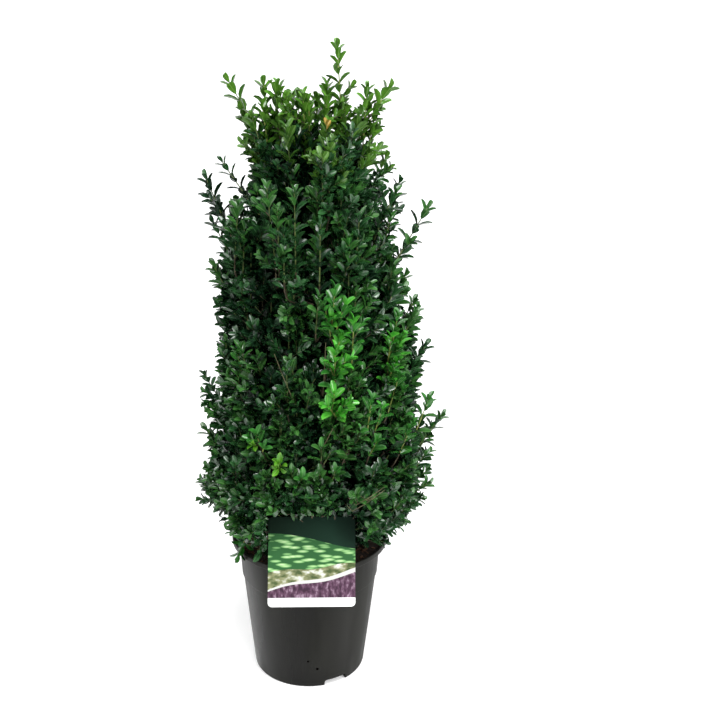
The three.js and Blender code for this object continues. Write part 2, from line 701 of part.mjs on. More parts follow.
// Leaves that stand straight out of a core, where lines aimed at it from outside meet it.
function coreLeaves(mass, core) {
  const isTop = mass.tier === "top";
  const body = meshOf("core", core, MATERIALS.foliage);
  const heart = heartOf(mass);
  const roll = dice(mass.seed);
  const lowest = floorAt(mass.floor, CROWN.topRadius);
  const highest = isTop ? CROWN.top : floorAt(mass.ceiling, CROWN.baseRadius);
  return Array.from({ length: isTop ? CORE_LEAF.perTopMass : CORE_LEAF.perMass }, (_, number) => {
    const at = mass.middle + (evenShare(mass, number, ACROSS_STEP) * 2 - 1) * mass.half;
    const height = mix(lowest, highest, evenShare(mass, number, UP_STEP));
    const outside = polar(at, CROWN.baseRadius, height);
    const inside = polar(at, CROWN.baseRadius * CORE_LEAF.aimShare, mix(heart.z, height, CORE_LEAF.aimShare));
    const rise = CORE_LEAF.rise + (roll() - 0.5) * 2 * SHOOT.lean;
    const away = at + (roll() - 0.5) * 2 * SHOOT.swing;
    const twist = (roll() - 0.5) * LEAF.roll;
    const scale = CORE_LEAF.scale * mix(CORE_LEAF.smallest, 1, roll());
    const [hit] = new THREE.Raycaster(outside, inside.sub(outside).normalize()).intersectObject(body);
    if (!hit) return [];
    const along = polar(away, Math.cos(rise), Math.sin(rise));
    const across = polar(away + TURN / 4, 1, 0).applyAxisAngle(along, twist);
    return makeLeaf(mass, hit.point.addScaledVector(along, -CORE_LEAF.sunk), along, across, scale);
  }).flat();
}

function makeMass(mass, limbRoom) {
  const core = makeCore(mass);
  const leaves = coreLeaves(mass, core);
  shootsOf(mass).forEach((shoot, number) => {
    leaves.push(makeTwig(shoot), ...shootLeaves(mass, shoot, dice(mass.seed * 1000 + 500 + number)));
  });
  return mainBody(joined([core, makeMassStem(mass), ...leaves]).subtract(limbRoom));
}

// ---------------------------------------------------------------- the whole plant

const plant = new THREE.Group();
plant.name = "boxwood_cone";
plant.add(meshOf("pot", makePot(), MATERIALS.pot));
plant.add(meshOf("potting_soil", makeSoil(), MATERIALS.soil));
plant.add(meshOf("plant_label", makeLabel(), MATERIALS.label));
plant.add(meshOf("main_stem", makeStem(0), MATERIALS.bark));

const stemRoom = makeStem(CLEARANCE);
for (const mass of crownMasses()) {
  const isTop = mass.tier === "top";
  const limbRoom = isTop ? stemRoom : boughLimb(mass, CLEARANCE);
  if (!isTop) {
    const bough = mainBody(boughLimb(mass, 0).subtract(stemRoom));
    plant.add(meshOf(mass.boughName, bough, MATERIALS.bark));
  }
  plant.add(meshOf(mass.name, makeMass(mass, limbRoom), MATERIALS.foliage));
}

export default plant;
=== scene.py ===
# %% [markdown]
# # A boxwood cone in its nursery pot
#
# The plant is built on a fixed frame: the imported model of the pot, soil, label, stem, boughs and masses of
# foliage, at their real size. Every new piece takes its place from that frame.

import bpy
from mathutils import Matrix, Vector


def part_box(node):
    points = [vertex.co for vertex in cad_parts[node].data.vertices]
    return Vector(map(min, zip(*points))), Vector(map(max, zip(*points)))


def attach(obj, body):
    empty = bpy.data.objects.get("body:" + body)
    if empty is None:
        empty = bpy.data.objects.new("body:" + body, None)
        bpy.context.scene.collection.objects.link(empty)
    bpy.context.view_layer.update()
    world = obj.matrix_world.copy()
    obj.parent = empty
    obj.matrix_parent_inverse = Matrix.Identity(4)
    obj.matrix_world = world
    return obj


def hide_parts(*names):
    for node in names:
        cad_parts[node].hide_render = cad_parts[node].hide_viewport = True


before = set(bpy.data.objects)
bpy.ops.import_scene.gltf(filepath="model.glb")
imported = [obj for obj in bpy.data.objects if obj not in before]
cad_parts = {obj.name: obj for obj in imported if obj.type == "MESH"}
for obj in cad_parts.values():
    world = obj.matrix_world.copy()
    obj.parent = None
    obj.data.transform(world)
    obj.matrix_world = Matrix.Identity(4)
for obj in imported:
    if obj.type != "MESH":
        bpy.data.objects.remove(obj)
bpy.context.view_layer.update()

# %% [markdown]
# ## Units and small helpers
#
# Blender works in metres. A gardener thinks of this plant in millimetres, so the sizes below are written in
# millimetres and multiplied by MM once. Angles are written in degrees in the same way.

# %% Units
import math

import bmesh
import bpy
import numpy as np
from mathutils import Matrix, Vector

MM = 0.001
TURN = 2 * math.pi
DEGREE = math.pi / 180


def mix(a, b, share):
    """The value that lies that share of the way from a to b."""
    return a + (b - a) * share


def polar(angle, radius, height):
    """A point from its compass angle, its distance from the pot's axis and its height."""
    return np.array([radius * math.cos(angle), radius * math.sin(angle), height])


def unit(vector):
    """The vector's direction."""
    return vector / np.linalg.norm(vector)


# %% [markdown]
# ## Helpers for modelling by hand
#
# Most pieces start as a primitive and are shaped in edit mode. An operator acts on whatever is selected,
# and the frame's own nodes come in selected, so each primitive is added after everything is deselected.
# Modifiers are applied straight away, so that the finished mesh is plain.


# %% Modelling helpers
def only(piece):
    """Makes a piece the active one, with nothing else selected."""
    bpy.ops.object.select_all(action="DESELECT")
    piece.select_set(True)
    bpy.context.view_layer.objects.active = piece


def start_piece(add, name, **settings):
    """Adds a primitive with nothing else selected, and names it."""
    bpy.ops.object.select_all(action="DESELECT")
    add(**settings)
    piece = bpy.context.object
    piece.name = name
    piece.data.name = name
    return piece


def new_object(name, data):
    """An object made of that data, in the scene."""
    piece = bpy.data.objects.new(name, data)
    bpy.context.scene.collection.objects.link(piece)
    return piece


def edit(piece):
    """Opens a piece in edit mode with all of it selected."""
    only(piece)
    bpy.ops.object.mode_set(mode="EDIT")
    bpy.ops.mesh.select_all(action="SELECT")


def select_only(piece, parts, test):
    """In edit mode, selects only the verts, edges or faces that pass a test."""
    bpy.ops.mesh.select_all(action="DESELECT")
    mesh = bmesh.from_edit_mesh(piece.data)
    for part in filter(test, getattr(mesh, parts)):
        part.select = True
    bmesh.update_edit_mesh(piece.data)


def leave_edit():
    """Goes back to object mode."""
    bpy.ops.object.mode_set(mode="OBJECT")


def apply_modifier(piece, kind, **settings):
    """Adds a modifier with those settings and applies it."""
    bpy.context.view_layer.objects.active = piece
    modifier = piece.modifiers.new(kind.title(), kind)
    for key, value in settings.items():
        setattr(modifier, key, value)
    bpy.ops.object.modifier_apply(modifier=modifier.name)


def place_in_mesh(piece):
    """Moves the object's place, turn and scale into its mesh, so that the object sits at the origin."""
    only(piece)
    bpy.ops.object.transform_apply(location=True, rotation=True, scale=True)


def start_block(add, name, size, middle):
    """Adds a cube or a plane of that size round that middle."""
    piece = start_piece(add, name, size=1)
    piece.scale = size
    piece.location = middle
    place_in_mesh(piece)
    return piece


def smooth(piece, angle=35 * DEGREE):
    """Shades a piece smooth, with creases where its faces meet at more than that angle."""
    only(piece)
    bpy.ops.object.shade_smooth_by_angle(angle=angle)


def finish_piece(piece, material, slot, *nodes):
    """Gives a piece its material, and says which frame nodes it stands for. The slot is not used."""
    piece.data.materials.clear()
    piece.data.materials.append(material)
    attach(piece, "root")
    if nodes:
        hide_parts(*nodes)
    print(f"{piece.name}: {len(piece.data.vertices)} vertices, {len(piece.data.polygons)} faces")
    return piece


# %% [markdown]
# A pot, like a clay one on a wheel, is a profile spun round an axis. The profile is drawn by extruding a
# single vertex from point to point. The spin leaves doubled vertices where it starts and on the axis, so
# these are merged before the faces are turned outwards.


# %% Spin a profile
MERGE_DISTANCE = 0.01 * MM


def spin_profile(name, profile, steps):
    """A closed shell from [radius, height] points that start and end on the axis."""
    piece = start_piece(bpy.ops.mesh.primitive_plane_add, name)
    edit(piece)
    bpy.ops.mesh.merge(type="CENTER")
    first = profile[0]
    bpy.ops.transform.translate(value=(first[0], 0, first[1]))
    for (radius, height), (next_radius, next_height) in zip(profile, profile[1:]):
        step = (next_radius - radius, 0, next_height - height)
        bpy.ops.mesh.extrude_region_move(TRANSFORM_OT_translate={"value": step})
    bpy.ops.mesh.select_all(action="SELECT")
    bpy.ops.mesh.spin(steps=steps, angle=TURN, center=(0, 0, 0), axis=(0, 0, 1))
    bpy.ops.mesh.select_all(action="SELECT")
    bpy.ops.mesh.remove_doubles(threshold=MERGE_DISTANCE)
    bpy.ops.mesh.normals_make_consistent(inside=False)
    leave_edit()
    return piece


# %% [markdown]
# ## Helpers for materials
#
# Every finish is a Principled shader. What varies over the surface, such as a mottled colour or a fine
# bump, comes from noise in Object coordinates, which stays put on the piece. What is the same all over is
# typed straight into the shader's own sockets.


# %% Material helpers
def new_material(name, roughness, specular=0.5):
    """A material with an empty Principled shader. Returns the material, its node tree and the shader."""
    material = bpy.data.materials.new(name)
    material.use_nodes = True
    tree = material.node_tree
    shader = tree.nodes["Principled BSDF"]
    shader.inputs["Roughness"].default_value = roughness
    shader.inputs["Specular IOR Level"].default_value = specular
    return material, tree, shader


def feed(tree, socket, value):
    """Sets a socket to a value, or links it to another node's output."""
    if isinstance(value, bpy.types.NodeSocket):
        tree.links.new(value, socket)
    else:
        socket.default_value = value


def add_node(tree, kind, **inputs):
    """A shader node with its inputs fed."""
    node = tree.nodes.new(f"ShaderNode{kind}")
    for name, value in inputs.items():
        feed(tree, node.inputs[name], value)
    return node


def noise(tree, scale, detail=3.0, stretch=(1, 1, 1)):
    """Noise in Object coordinates, stretched along the axes. Returns its output socket."""
    place = add_node(tree, "TexCoord").outputs["Object"]
    stretched = add_node(tree, "Mapping", Vector=place, Scale=stretch).outputs["Vector"]
    return add_node(tree, "TexNoise", Vector=stretched, Scale=scale, Detail=detail).outputs["Fac"]


def ramp(tree, source, stops):
    """A colour ramp on a socket, from (position, colour) pairs. Returns its colour socket."""
    node = add_node(tree, "ValToRGB", Fac=source)
    elements = node.color_ramp.elements
    for _ in range(len(stops) - 2):
        elements.new(0.5)
    for element, (position, colour) in zip(elements, stops):
        element.position = position
        element.color = (*colour, 1)
    return node.outputs["Color"]


def bump(tree, shader, source, strength, distance):
    """Fine relief from a socket, on the shader's normal."""
    node = add_node(tree, "Bump", Height=source, Strength=strength, Distance=distance)
    tree.links.new(node.outputs["Normal"], shader.inputs["Normal"])


def vary(tree, shader, socket, source, stops):
    """Lets one of the shader's inputs vary over the surface, by a colour ramp on a source."""
    tree.links.new(ramp(tree, source, stops), shader.inputs[socket])


def grey(value):
    """An even grey."""
    return (value, value, value)


# %% [markdown]
# ## The camera
#
# The plant is seen from the front and from a little above the pot, as by someone who stands before it and
# looks down at it slightly. The camera's place is measured from the pot's foot, and it is turned by a few
# degrees to the right and tilted by about one.

# %% Camera
CAMERA_BACK = 1374.35 * MM
CAMERA_HEIGHT = 954.61 * MM
CAMERA_DOWN = 18.412 * DEGREE
CAMERA_TURN = 2.9725 * DEGREE
CAMERA_TILT = 1.146 * DEGREE
LENS = 50  # millimetres, as is the sensor's width
SENSOR_WIDTH = 36

ahead = Vector(
    (
        math.sin(CAMERA_TURN) * math.cos(CAMERA_DOWN),
        math.cos(CAMERA_TURN) * math.cos(CAMERA_DOWN),
        -math.sin(CAMERA_DOWN),
    )
)
level = Vector((math.cos(CAMERA_TURN), -math.sin(CAMERA_TURN), 0))
upright = level.cross(ahead)
right = math.cos(CAMERA_TILT) * level + math.sin(CAMERA_TILT) * upright
above = -math.sin(CAMERA_TILT) * level + math.cos(CAMERA_TILT) * upright

camera_data = bpy.data.cameras.new("camera")
camera_data.lens = LENS
camera_data.sensor_width = SENSOR_WIDTH
camera = new_object("camera", camera_data)
camera.matrix_world = Matrix.Translation((0, -CAMERA_BACK, CAMERA_HEIGHT)) @ Matrix(
    [right, above, -ahead]
).transposed().to_4x4()
bpy.context.scene.camera = camera
print("camera at", [round(v, 3) for v in camera.matrix_world.translation])

# %% [markdown]
# ## The nursery pot
#
# A nursery pot is blown or moulded in thin black polythene. It has a rolled rim, a slightly wider collar
# under it, a tapering wall, and channels under the base that let water out. It is spun from one closed
# profile, and the channels are then cut with rounded blocks, which leaves clean arched mouths.

# %% The pot's sizes
pot_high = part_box("pot")[1]
POT_HEIGHT = pot_high.z
RIM_RADIUS = pot_high.x
RIM_BAND = 8.5 * MM
LEDGE_RADIUS = 108 * MM
COLLAR_FOOT = 158 * MM
COLLAR_RADIUS = 104.3 * MM
COLLAR_STEP = 1.5 * MM
BODY_RADIUS = 102.5 * MM
BASE_RADIUS = 86 * MM
BASE_CORNER = 3 * MM
POT_WALL = 1.8 * MM
POT_FLOOR = 2.4 * MM
POT_STEPS = 144
ledge = POT_HEIGHT - RIM_BAND


def corner_arc(centre_radius, centre_height, radius, start, end, steps=4):
    """Points of a small arc in the profile, from one angle to the other."""
    angles = [mix(start, end, i / steps) * DEGREE for i in range(steps + 1)]
    return [
        (centre_radius + radius * math.cos(a), centre_height + radius * math.sin(a)) for a in angles
    ]


# %% Spin the pot
RIM_ROLL = 1.1 * MM
BRIM_ROLL = 0.8 * MM  # on the rim's inner edge
LEDGE_EDGE = 0.4 * MM
LEDGE_SLOPE = (2.5 * MM, 2 * MM)  # inside, how far in and how high the rim meets its ledge


def wall_radius(height):
    """Outside radius of the body under the collar."""
    return mix(BASE_RADIUS, BODY_RADIUS, height / COLLAR_FOOT)


outer = [
    (0, 0),
    *corner_arc(BASE_RADIUS - BASE_CORNER, BASE_CORNER, BASE_CORNER, -90, 0),
    (wall_radius(COLLAR_FOOT / 2), COLLAR_FOOT / 2),
    (BODY_RADIUS, COLLAR_FOOT),
    *corner_arc(COLLAR_RADIUS - RIM_ROLL, COLLAR_FOOT + COLLAR_STEP, RIM_ROLL, -60, 0, 3),
    (LEDGE_RADIUS - LEDGE_EDGE, ledge - 1 * MM),
    (LEDGE_RADIUS + LEDGE_EDGE, ledge),
    *corner_arc(RIM_RADIUS - RIM_ROLL, ledge + RIM_ROLL, RIM_ROLL, -90, 0),
    *corner_arc(RIM_RADIUS - RIM_ROLL, POT_HEIGHT - RIM_ROLL, RIM_ROLL, 0, 90),
]
inner = [
    *corner_arc(RIM_RADIUS - POT_WALL, POT_HEIGHT - BRIM_ROLL, BRIM_ROLL, 90, 180, 3),
    (RIM_RADIUS - POT_WALL - BRIM_ROLL, ledge + POT_WALL + LEDGE_SLOPE[1]),
    (RIM_RADIUS - POT_WALL - LEDGE_SLOPE[0], ledge + POT_WALL),
    (LEDGE_RADIUS - POT_WALL, ledge + POT_WALL),
    (LEDGE_RADIUS - POT_WALL, ledge - 2 * MM),
    (COLLAR_RADIUS - POT_WALL, COLLAR_FOOT + COLLAR_STEP),
    (BODY_RADIUS - POT_WALL, COLLAR_FOOT),
    (BASE_RADIUS - POT_WALL, POT_FLOOR + BASE_CORNER),
    (BASE_RADIUS - BASE_CORNER - POT_WALL, POT_FLOOR),
    (0, POT_FLOOR),
]
pot = spin_profile("nursery_pot", outer + inner, POT_STEPS)
print("pot profile points:", len(outer) + len(inner))

# %% [markdown]
# The drain channels are three blocks with rounded tops, one third of a turn apart. One of them opens a
# little to the right of the front. Each is cut out of the base with a Boolean modifier. Two small round holes
# low on the front wall are cut in the same way.

# %% Cut the drain channels
CHANNELS = 3
FIRST_CHANNEL = -62 * DEGREE
CHANNEL_WIDTH = 37 * MM
CHANNEL_HEIGHT = 10 * MM
CHANNEL_START = 45 * MM
CHANNEL_CORNER = 4 * MM
CHANNEL_OVERCUT = 12 * MM  # how far a block reaches out of the pot


def cut(piece, cutter):
    """Cuts one piece with another, which is then thrown away."""
    apply_modifier(piece, "BOOLEAN", operation="DIFFERENCE", object=cutter, solver="EXACT")
    bpy.data.objects.remove(cutter)


def channel_block(angle):
    """A block along one channel, with its upper long edges rounded."""
    reach = BASE_RADIUS + CHANNEL_OVERCUT - CHANNEL_START
    size = (reach, CHANNEL_WIDTH, 2 * CHANNEL_HEIGHT)
    middle = (CHANNEL_START + reach / 2, 0, 0)
    block = start_block(bpy.ops.mesh.primitive_cube_add, "channel", size, middle)
    apply_modifier(block, "BEVEL", width=CHANNEL_CORNER, segments=4, limit_method="NONE")
    block.rotation_euler.z = angle
    place_in_mesh(block)
    return block


for number in range(CHANNELS):
    cut(pot, channel_block(FIRST_CHANNEL + number * TURN / CHANNELS))
print("after the channels:", len(pot.data.polygons), "faces")

# %% Cut the small holes in the wall
# Each hole is a direction round the pot from the front, a height and a radius.
WALL_HOLES = [(-1.5, 49, 1.7), (7.5, 34, 2.3)]
ROD_LENGTH = 12 * MM


def hole_cutter(turn, height, radius):
    """A short rod that pierces the wall at that place."""
    angle = -TURN / 4 + turn * DEGREE
    rod = start_piece(
        bpy.ops.mesh.primitive_cylinder_add,
        "hole",
        vertices=16,
        radius=radius * MM,
        depth=ROD_LENGTH,
        location=tuple(polar(angle, wall_radius(height * MM), height * MM)),
        rotation=(TURN / 4, 0, angle + TURN / 4),
    )
    place_in_mesh(rod)
    return rod


for hole in WALL_HOLES:
    cut(pot, hole_cutter(*hole))
smooth(pot, angle=28 * DEGREE)
print("finished pot:", len(pot.data.polygons), "faces")

# %% [markdown]
# Recycled polythene is a very dark, slightly warm grey with a soft sheen. It isn't even: it has faint
# clouds and upright streaks from the mould, so both its colour and its roughness are mottled, and a fine
# bump breaks up the sheen.

# %% Polythene
polythene, tree, shader = new_material("recycled_polythene", roughness=0.42, specular=0.15)
clouds = noise(tree, scale=16, detail=4, stretch=(1, 1, 0.3))
vary(tree, shader, "Base Color", clouds, [(0.34, (0.001, 0.0011, 0.0006)), (0.66, (0.0058, 0.0059, 0.0038))])
streaks = noise(tree, scale=18, detail=3, stretch=(1, 1, 0.12))
vary(tree, shader, "Roughness", streaks, [(0.38, grey(0.27)), (0.64, grey(0.6))])
bump(tree, shader, noise(tree, scale=900, detail=2), strength=0.08, distance=0.3 * MM)
finish_piece(pot, polythene, "pot", "pot")

# %% [markdown]
# ## The potting soil
#
# Moist potting soil fills the pot to just under its rim. Only a rim of it shows, under the skirt of the
# foliage, so a domed disc with crumbs raised by displacement is enough, strewn with bits of red-brown bark.
# The bark bits are one small wedge, copied many times with its own turn and size.

# %% The soil
SOIL_EDGE = 215.2 * MM
SOIL_TOP = 218 * MM
SOIL_DISC = 4 * MM
SOIL_GAP = 1.2 * MM  # between the soil and the rim's inside
RINGS = 26
CRUMBS = (-1.4, 1.6)
CRUMBLY = 0.98  # the share of the radius that has crumbs
soil_radius = RIM_RADIUS - POT_WALL - SOIL_GAP
soil_random = np.random.default_rng(7)

soil = start_piece(
    bpy.ops.mesh.primitive_cylinder_add,
    "soil_surface",
    vertices=96,
    radius=soil_radius,
    depth=SOIL_DISC,
    location=(0, 0, SOIL_EDGE - SOIL_DISC / 2),
)
place_in_mesh(soil)
edit(soil)
bpy.ops.mesh.select_mode(type="FACE")
select_only(soil, "faces", lambda face: face.calc_center_median().z > SOIL_EDGE - SOIL_DISC / 4)
for ring in range(RINGS - 1):
    shrink = (RINGS - ring - 1) / (RINGS - ring)
    bpy.ops.mesh.extrude_region_move()
    bpy.ops.transform.resize(value=(shrink, shrink, 1))
bpy.ops.mesh.poke()
leave_edit()
for vertex in soil.data.vertices:
    radius = math.hypot(vertex.co.x, vertex.co.y) / soil_radius
    if vertex.co.z > SOIL_EDGE - SOIL_DISC / 4 and radius < CRUMBLY:
        dome = mix(SOIL_TOP - SOIL_EDGE, 0, radius)
        vertex.co.z += dome + soil_random.uniform(*CRUMBS) * MM
smooth(soil, angle=60 * DEGREE)

# %% Soil material
humus, tree, shader = new_material("moist_humus", roughness=0.85, specular=0.3)
HUMUS = [(0.35, (0.004, 0.003, 0.002)), (0.55, (0.017, 0.009, 0.005)), (0.75, (0.05, 0.022, 0.011))]
vary(tree, shader, "Base Color", noise(tree, scale=260, detail=4), HUMUS)
bump(tree, shader, noise(tree, scale=500, detail=3), strength=0.8, distance=1.5 * MM)
finish_piece(soil, humus, "soil", "potting_soil")

# %% Bark bits
BITS = 420
BIT_LENGTHS = (4 * MM, 12 * MM)
BIT_WIDTHS = (0.3, 0.5)  # as shares of the length
BIT_THICKNESS = 0.16
BIT_TILT = 0.5
BIT_LIFT = 1.5 * MM
BITS_WITHIN = 0.955  # the share of the soil's radius that has bits
BITS_SPREAD = (0.2, 1)

bit = start_piece(bpy.ops.mesh.primitive_cube_add, "bark_bit", size=1)
edit(bit)
bpy.ops.mesh.subdivide(number_cuts=1)
leave_edit()
for vertex in bit.data.vertices:
    vertex.co.y *= 1 - 0.55 * abs(vertex.co.x)
    vertex.co.z *= 1 - 0.4 * abs(vertex.co.y)
wedge = np.array([vertex.co[:] for vertex in bit.data.vertices])
wedge_faces = np.array([face.vertices[:] for face in bit.data.polygons])
bpy.data.objects.remove(bit)

points, faces = [], []
for number in range(BITS):
    distance = soil_radius * BITS_WITHIN * math.sqrt(soil_random.uniform(*BITS_SPREAD))
    around = soil_random.uniform(0, TURN)
    length = soil_random.uniform(*BIT_LENGTHS)
    size = np.array([length, length * soil_random.uniform(*BIT_WIDTHS), length * BIT_THICKNESS])
    turn = Matrix.Rotation(soil_random.uniform(0, TURN), 3, "Z") @ Matrix.Rotation(
        soil_random.uniform(-BIT_TILT, BIT_TILT), 3, "Y"
    )
    lift = mix(SOIL_TOP, SOIL_EDGE, distance / soil_radius) + soil_random.uniform(0, BIT_LIFT)
    place = polar(around, distance, lift)
    points.append((wedge * size) @ np.array(turn).T + place)
    faces.append(wedge_faces + len(wedge) * number)
bark_mesh = bpy.data.meshes.new("bark_bits")
bark_mesh.from_pydata(np.concatenate(points).tolist(), [], np.concatenate(faces).tolist())
bark_bits = new_object("bark_bits", bark_mesh)

bark_chips, tree, shader = new_material("red_brown_bark", roughness=0.8, specular=0.3)
CHIPS = [(0.3, (0.022, 0.009, 0.004)), (0.55, (0.075, 0.033, 0.015)), (0.8, (0.2, 0.115, 0.055))]
vary(tree, shader, "Base Color", noise(tree, scale=90, detail=3), CHIPS)
bump(tree, shader, noise(tree, scale=700, detail=3, stretch=(1, 4, 1)), strength=0.6, distance=0.5 * MM)
finish_piece(bark_bits, bark_chips, "soil")

# %% [markdown]
# ## The plant label
#
# Growers hang a printed plastic card over the rim. It leans back into the foliage, and a strap behind it
# bends over the rim and goes down into the soil. The card is a thin block with its four upright edges
# bevelled round, made lying flat, so that its picture can be laid out before it is tipped up into place.

# %% The card's sizes
LABEL_WIDTH = 124 * MM
LABEL_LENGTH = 126 * MM
LABEL_THICKNESS = 0.9 * MM
LABEL_CORNER = 6 * MM
LABEL_EDGE = 0.2 * MM
LABEL_LEAN = 25 * DEGREE
LABEL_BELOW_RIM = 50 * MM
LABEL_RIGHT = 2.5 * MM
HINGE_Y = -RIM_RADIUS - 1.2 * MM
HINGE_Z = POT_HEIGHT + 0.3 * MM
PICTURE = "picture"

# %% The card
card_size = (LABEL_WIDTH, LABEL_LENGTH, LABEL_THICKNESS)
card_middle = (0, LABEL_LENGTH / 2 - LABEL_BELOW_RIM, LABEL_THICKNESS / 2)
label = start_block(bpy.ops.mesh.primitive_cube_add, "plant_card", card_size, card_middle)
edit(label)
select_only(label, "edges", lambda edge: abs(edge.verts[0].co.z - edge.verts[1].co.z) > LABEL_THICKNESS / 2)
bpy.ops.mesh.bevel(offset=LABEL_CORNER, segments=8)
leave_edit()
apply_modifier(label, "BEVEL", width=LABEL_EDGE, segments=2, limit_method="ANGLE", angle_limit=50 * DEGREE)

while label.data.uv_layers:
    label.data.uv_layers.remove(label.data.uv_layers[0])
picture = label.data.uv_layers.new(name=PICTURE)
for corner in label.data.loops:
    place = label.data.vertices[corner.vertex_index].co
    across = place.x / LABEL_WIDTH + 0.5
    upward = (place.y + LABEL_BELOW_RIM) / LABEL_LENGTH
    picture.data[corner.index].uv = (across, upward)

label.rotation_euler.x = TURN / 4 - LABEL_LEAN
label.location = (LABEL_RIGHT, HINGE_Y, HINGE_Z)
place_in_mesh(label)
print("card top at", round(max(v.co.z for v in label.data.vertices), 4))

# %% [markdown]
# The strap is a strip: a flat plane whose inner edge is extruded straight down into the soil. A Solidify
# modifier gives it the card's thickness.

# %% The strap
STRAP_WIDTH = 16 * MM
STRAP_EDGE = 0.3 * MM
STRAP_HEIGHT = POT_HEIGHT + 4 * MM
STRAP_INSIDE = -(COLLAR_RADIUS - POT_WALL - 4 * MM)
STRAP_END = POT_HEIGHT - 45 * MM
strap_start = HINGE_Y + (STRAP_HEIGHT - HINGE_Z) * math.tan(LABEL_LEAN)

strap_size = (STRAP_WIDTH, STRAP_INSIDE - strap_start, 1)
strap_middle = (LABEL_RIGHT, (STRAP_INSIDE + strap_start) / 2, STRAP_HEIGHT)
strap = start_block(bpy.ops.mesh.primitive_plane_add, "card_strap", strap_size, strap_middle)
edit(strap)
select_only(strap, "edges", lambda edge: all(vertex.co.y > strap_middle[1] for vertex in edge.verts))
down = (0, 0, STRAP_END - STRAP_HEIGHT)
bpy.ops.mesh.extrude_region_move(TRANSFORM_OT_translate={"value": down})
leave_edit()
apply_modifier(strap, "SOLIDIFY", thickness=LABEL_THICKNESS, offset=0)
apply_modifier(strap, "BEVEL", width=STRAP_EDGE, segments=2, limit_method="ANGLE")
smooth(strap)

# %% [markdown]
# The card's print is a generic one, in sloping bands: a dark green heading, a hillside of slender leaf
# shapes, a dry meadow, a pale path that climbs to the right, a bed of plum-coloured flowers, and a bare white
# strip. It is printed with nodes that read the card's own UV map, so it can't slide. Each band is a step over
# a slanting line, and each step mixes the next colour in.


# %% Nodes for printing
def calculate(tree, operation, *values):
    """A Math node on numbers or sockets. Returns its output."""
    node = add_node(tree, "Math")
    node.operation = operation
    for socket, value in zip(node.inputs, values):
        feed(tree, socket, value)
    return node.outputs[0]


def blend_colours(tree, share, below, over):
    """Mixes two colours, each a socket or a plain colour."""
    node = add_node(tree, "Mix")
    node.data_type = "RGBA"
    tree.links.new(share, node.inputs["Factor"])
    for socket, value in ((node.inputs[6], below), (node.inputs[7], over)):
        feed(tree, socket, (*value, 1) if isinstance(value, tuple) else value)
    return node.outputs[2]


def uv_axes(tree, name):
    """The two axes of a UV map, and the map itself, as sockets."""
    node = add_node(tree, "UVMap")
    node.uv_map = name
    axes = add_node(tree, "SeparateXYZ", Vector=node.outputs["UV"])
    return axes.outputs["X"], axes.outputs["Y"], node.outputs["UV"]


def card_texture(tree, kind, place, scale, stretch=(1, 1, 1), turn=0.0):
    """A texture node that reads the card's UV map, stretched and turned."""
    turned = add_node(tree, "Mapping", Vector=place, Scale=stretch, Rotation=(0, 0, turn)).outputs["Vector"]
    return add_node(tree, kind, Vector=turned, Scale=scale)


# %% Print the card
printed, tree, shader = new_material("printed_card", roughness=0.5, specular=0.12)
across, upward, place = uv_axes(tree, PICTURE)


def above_line(height, slope=0.0, waves=0.0, ripple=0.0):
    """1 over a line across the card and 0 under it. The line may slope up to the right and ripple."""
    slant = calculate(tree, "MULTIPLY", across, slope)
    wave = calculate(tree, "SINE", calculate(tree, "MULTIPLY", across, waves))
    rippled = calculate(tree, "ADD", slant, calculate(tree, "MULTIPLY", wave, ripple))
    return calculate(tree, "GREATER_THAN", upward, calculate(tree, "ADD", rippled, height))


leaf_cells = card_texture(tree, "TexVoronoi", place, scale=8, stretch=(0.8, 3.4, 1), turn=0.9)
blossom = card_texture(tree, "TexNoise", place, scale=26, stretch=(1, 0.5, 1))
grasses = card_texture(tree, "TexNoise", place, scale=9, stretch=(1, 1.6, 1))
LEAF_GREENS = [
    (0.06, (0.46, 0.6, 0.34)),
    (0.26, (0.27, 0.47, 0.2)),
    (0.4, (0.13, 0.3, 0.105)),
    (0.52, (0.025, 0.095, 0.03)),
]
PLUMS = [(0.36, (0.035, 0.017, 0.03)), (0.55, (0.09, 0.045, 0.075)), (0.72, (0.28, 0.2, 0.26))]
STRAWS = [(0.38, (0.055, 0.08, 0.03)), (0.54, (0.2, 0.21, 0.11)), (0.7, (0.62, 0.64, 0.58))]
HEADING_GREENS = [(0.0, (0.002, 0.011, 0.005)), (0.75, (0.006, 0.024, 0.014)), (1.0, (0.003, 0.014, 0.008))]
WHITE_CARD = (0.78, 0.8, 0.78)
PALE_PATH = (0.5, 0.5, 0.48)
# From the card's foot up, what lies over each line, and the line's height, slope, waves and ripple.
BANDS = [
    (ramp(tree, blossom.outputs["Fac"], PLUMS), (0.1,)),
    (PALE_PATH, (0.17, 0.2, 7, 0.02)),
    (ramp(tree, grasses.outputs["Fac"], STRAWS), (0.19, 0.23, 7, 0.02)),
    (ramp(tree, leaf_cells.outputs["Distance"], LEAF_GREENS), (0.38, 0.1, 9, 0.015)),
    (ramp(tree, across, HEADING_GREENS), (0.82, -0.16, 5, 0.02)),
]
printing = WHITE_CARD
for band, line in BANDS:
    printing = blend_colours(tree, above_line(*line), printing, band)
tree.links.new(printing, shader.inputs["Base Color"])
finish_piece(label, printed, "label", "plant_label")

plain_card, tree, shader = new_material("plain_card", roughness=0.35, specular=0.5)
vary(tree, shader, "Base Color", noise(tree, scale=30), [(0.3, (0.7, 0.72, 0.7)), (0.7, (0.8, 0.82, 0.8))])
finish_piece(strap, plain_card, "label")

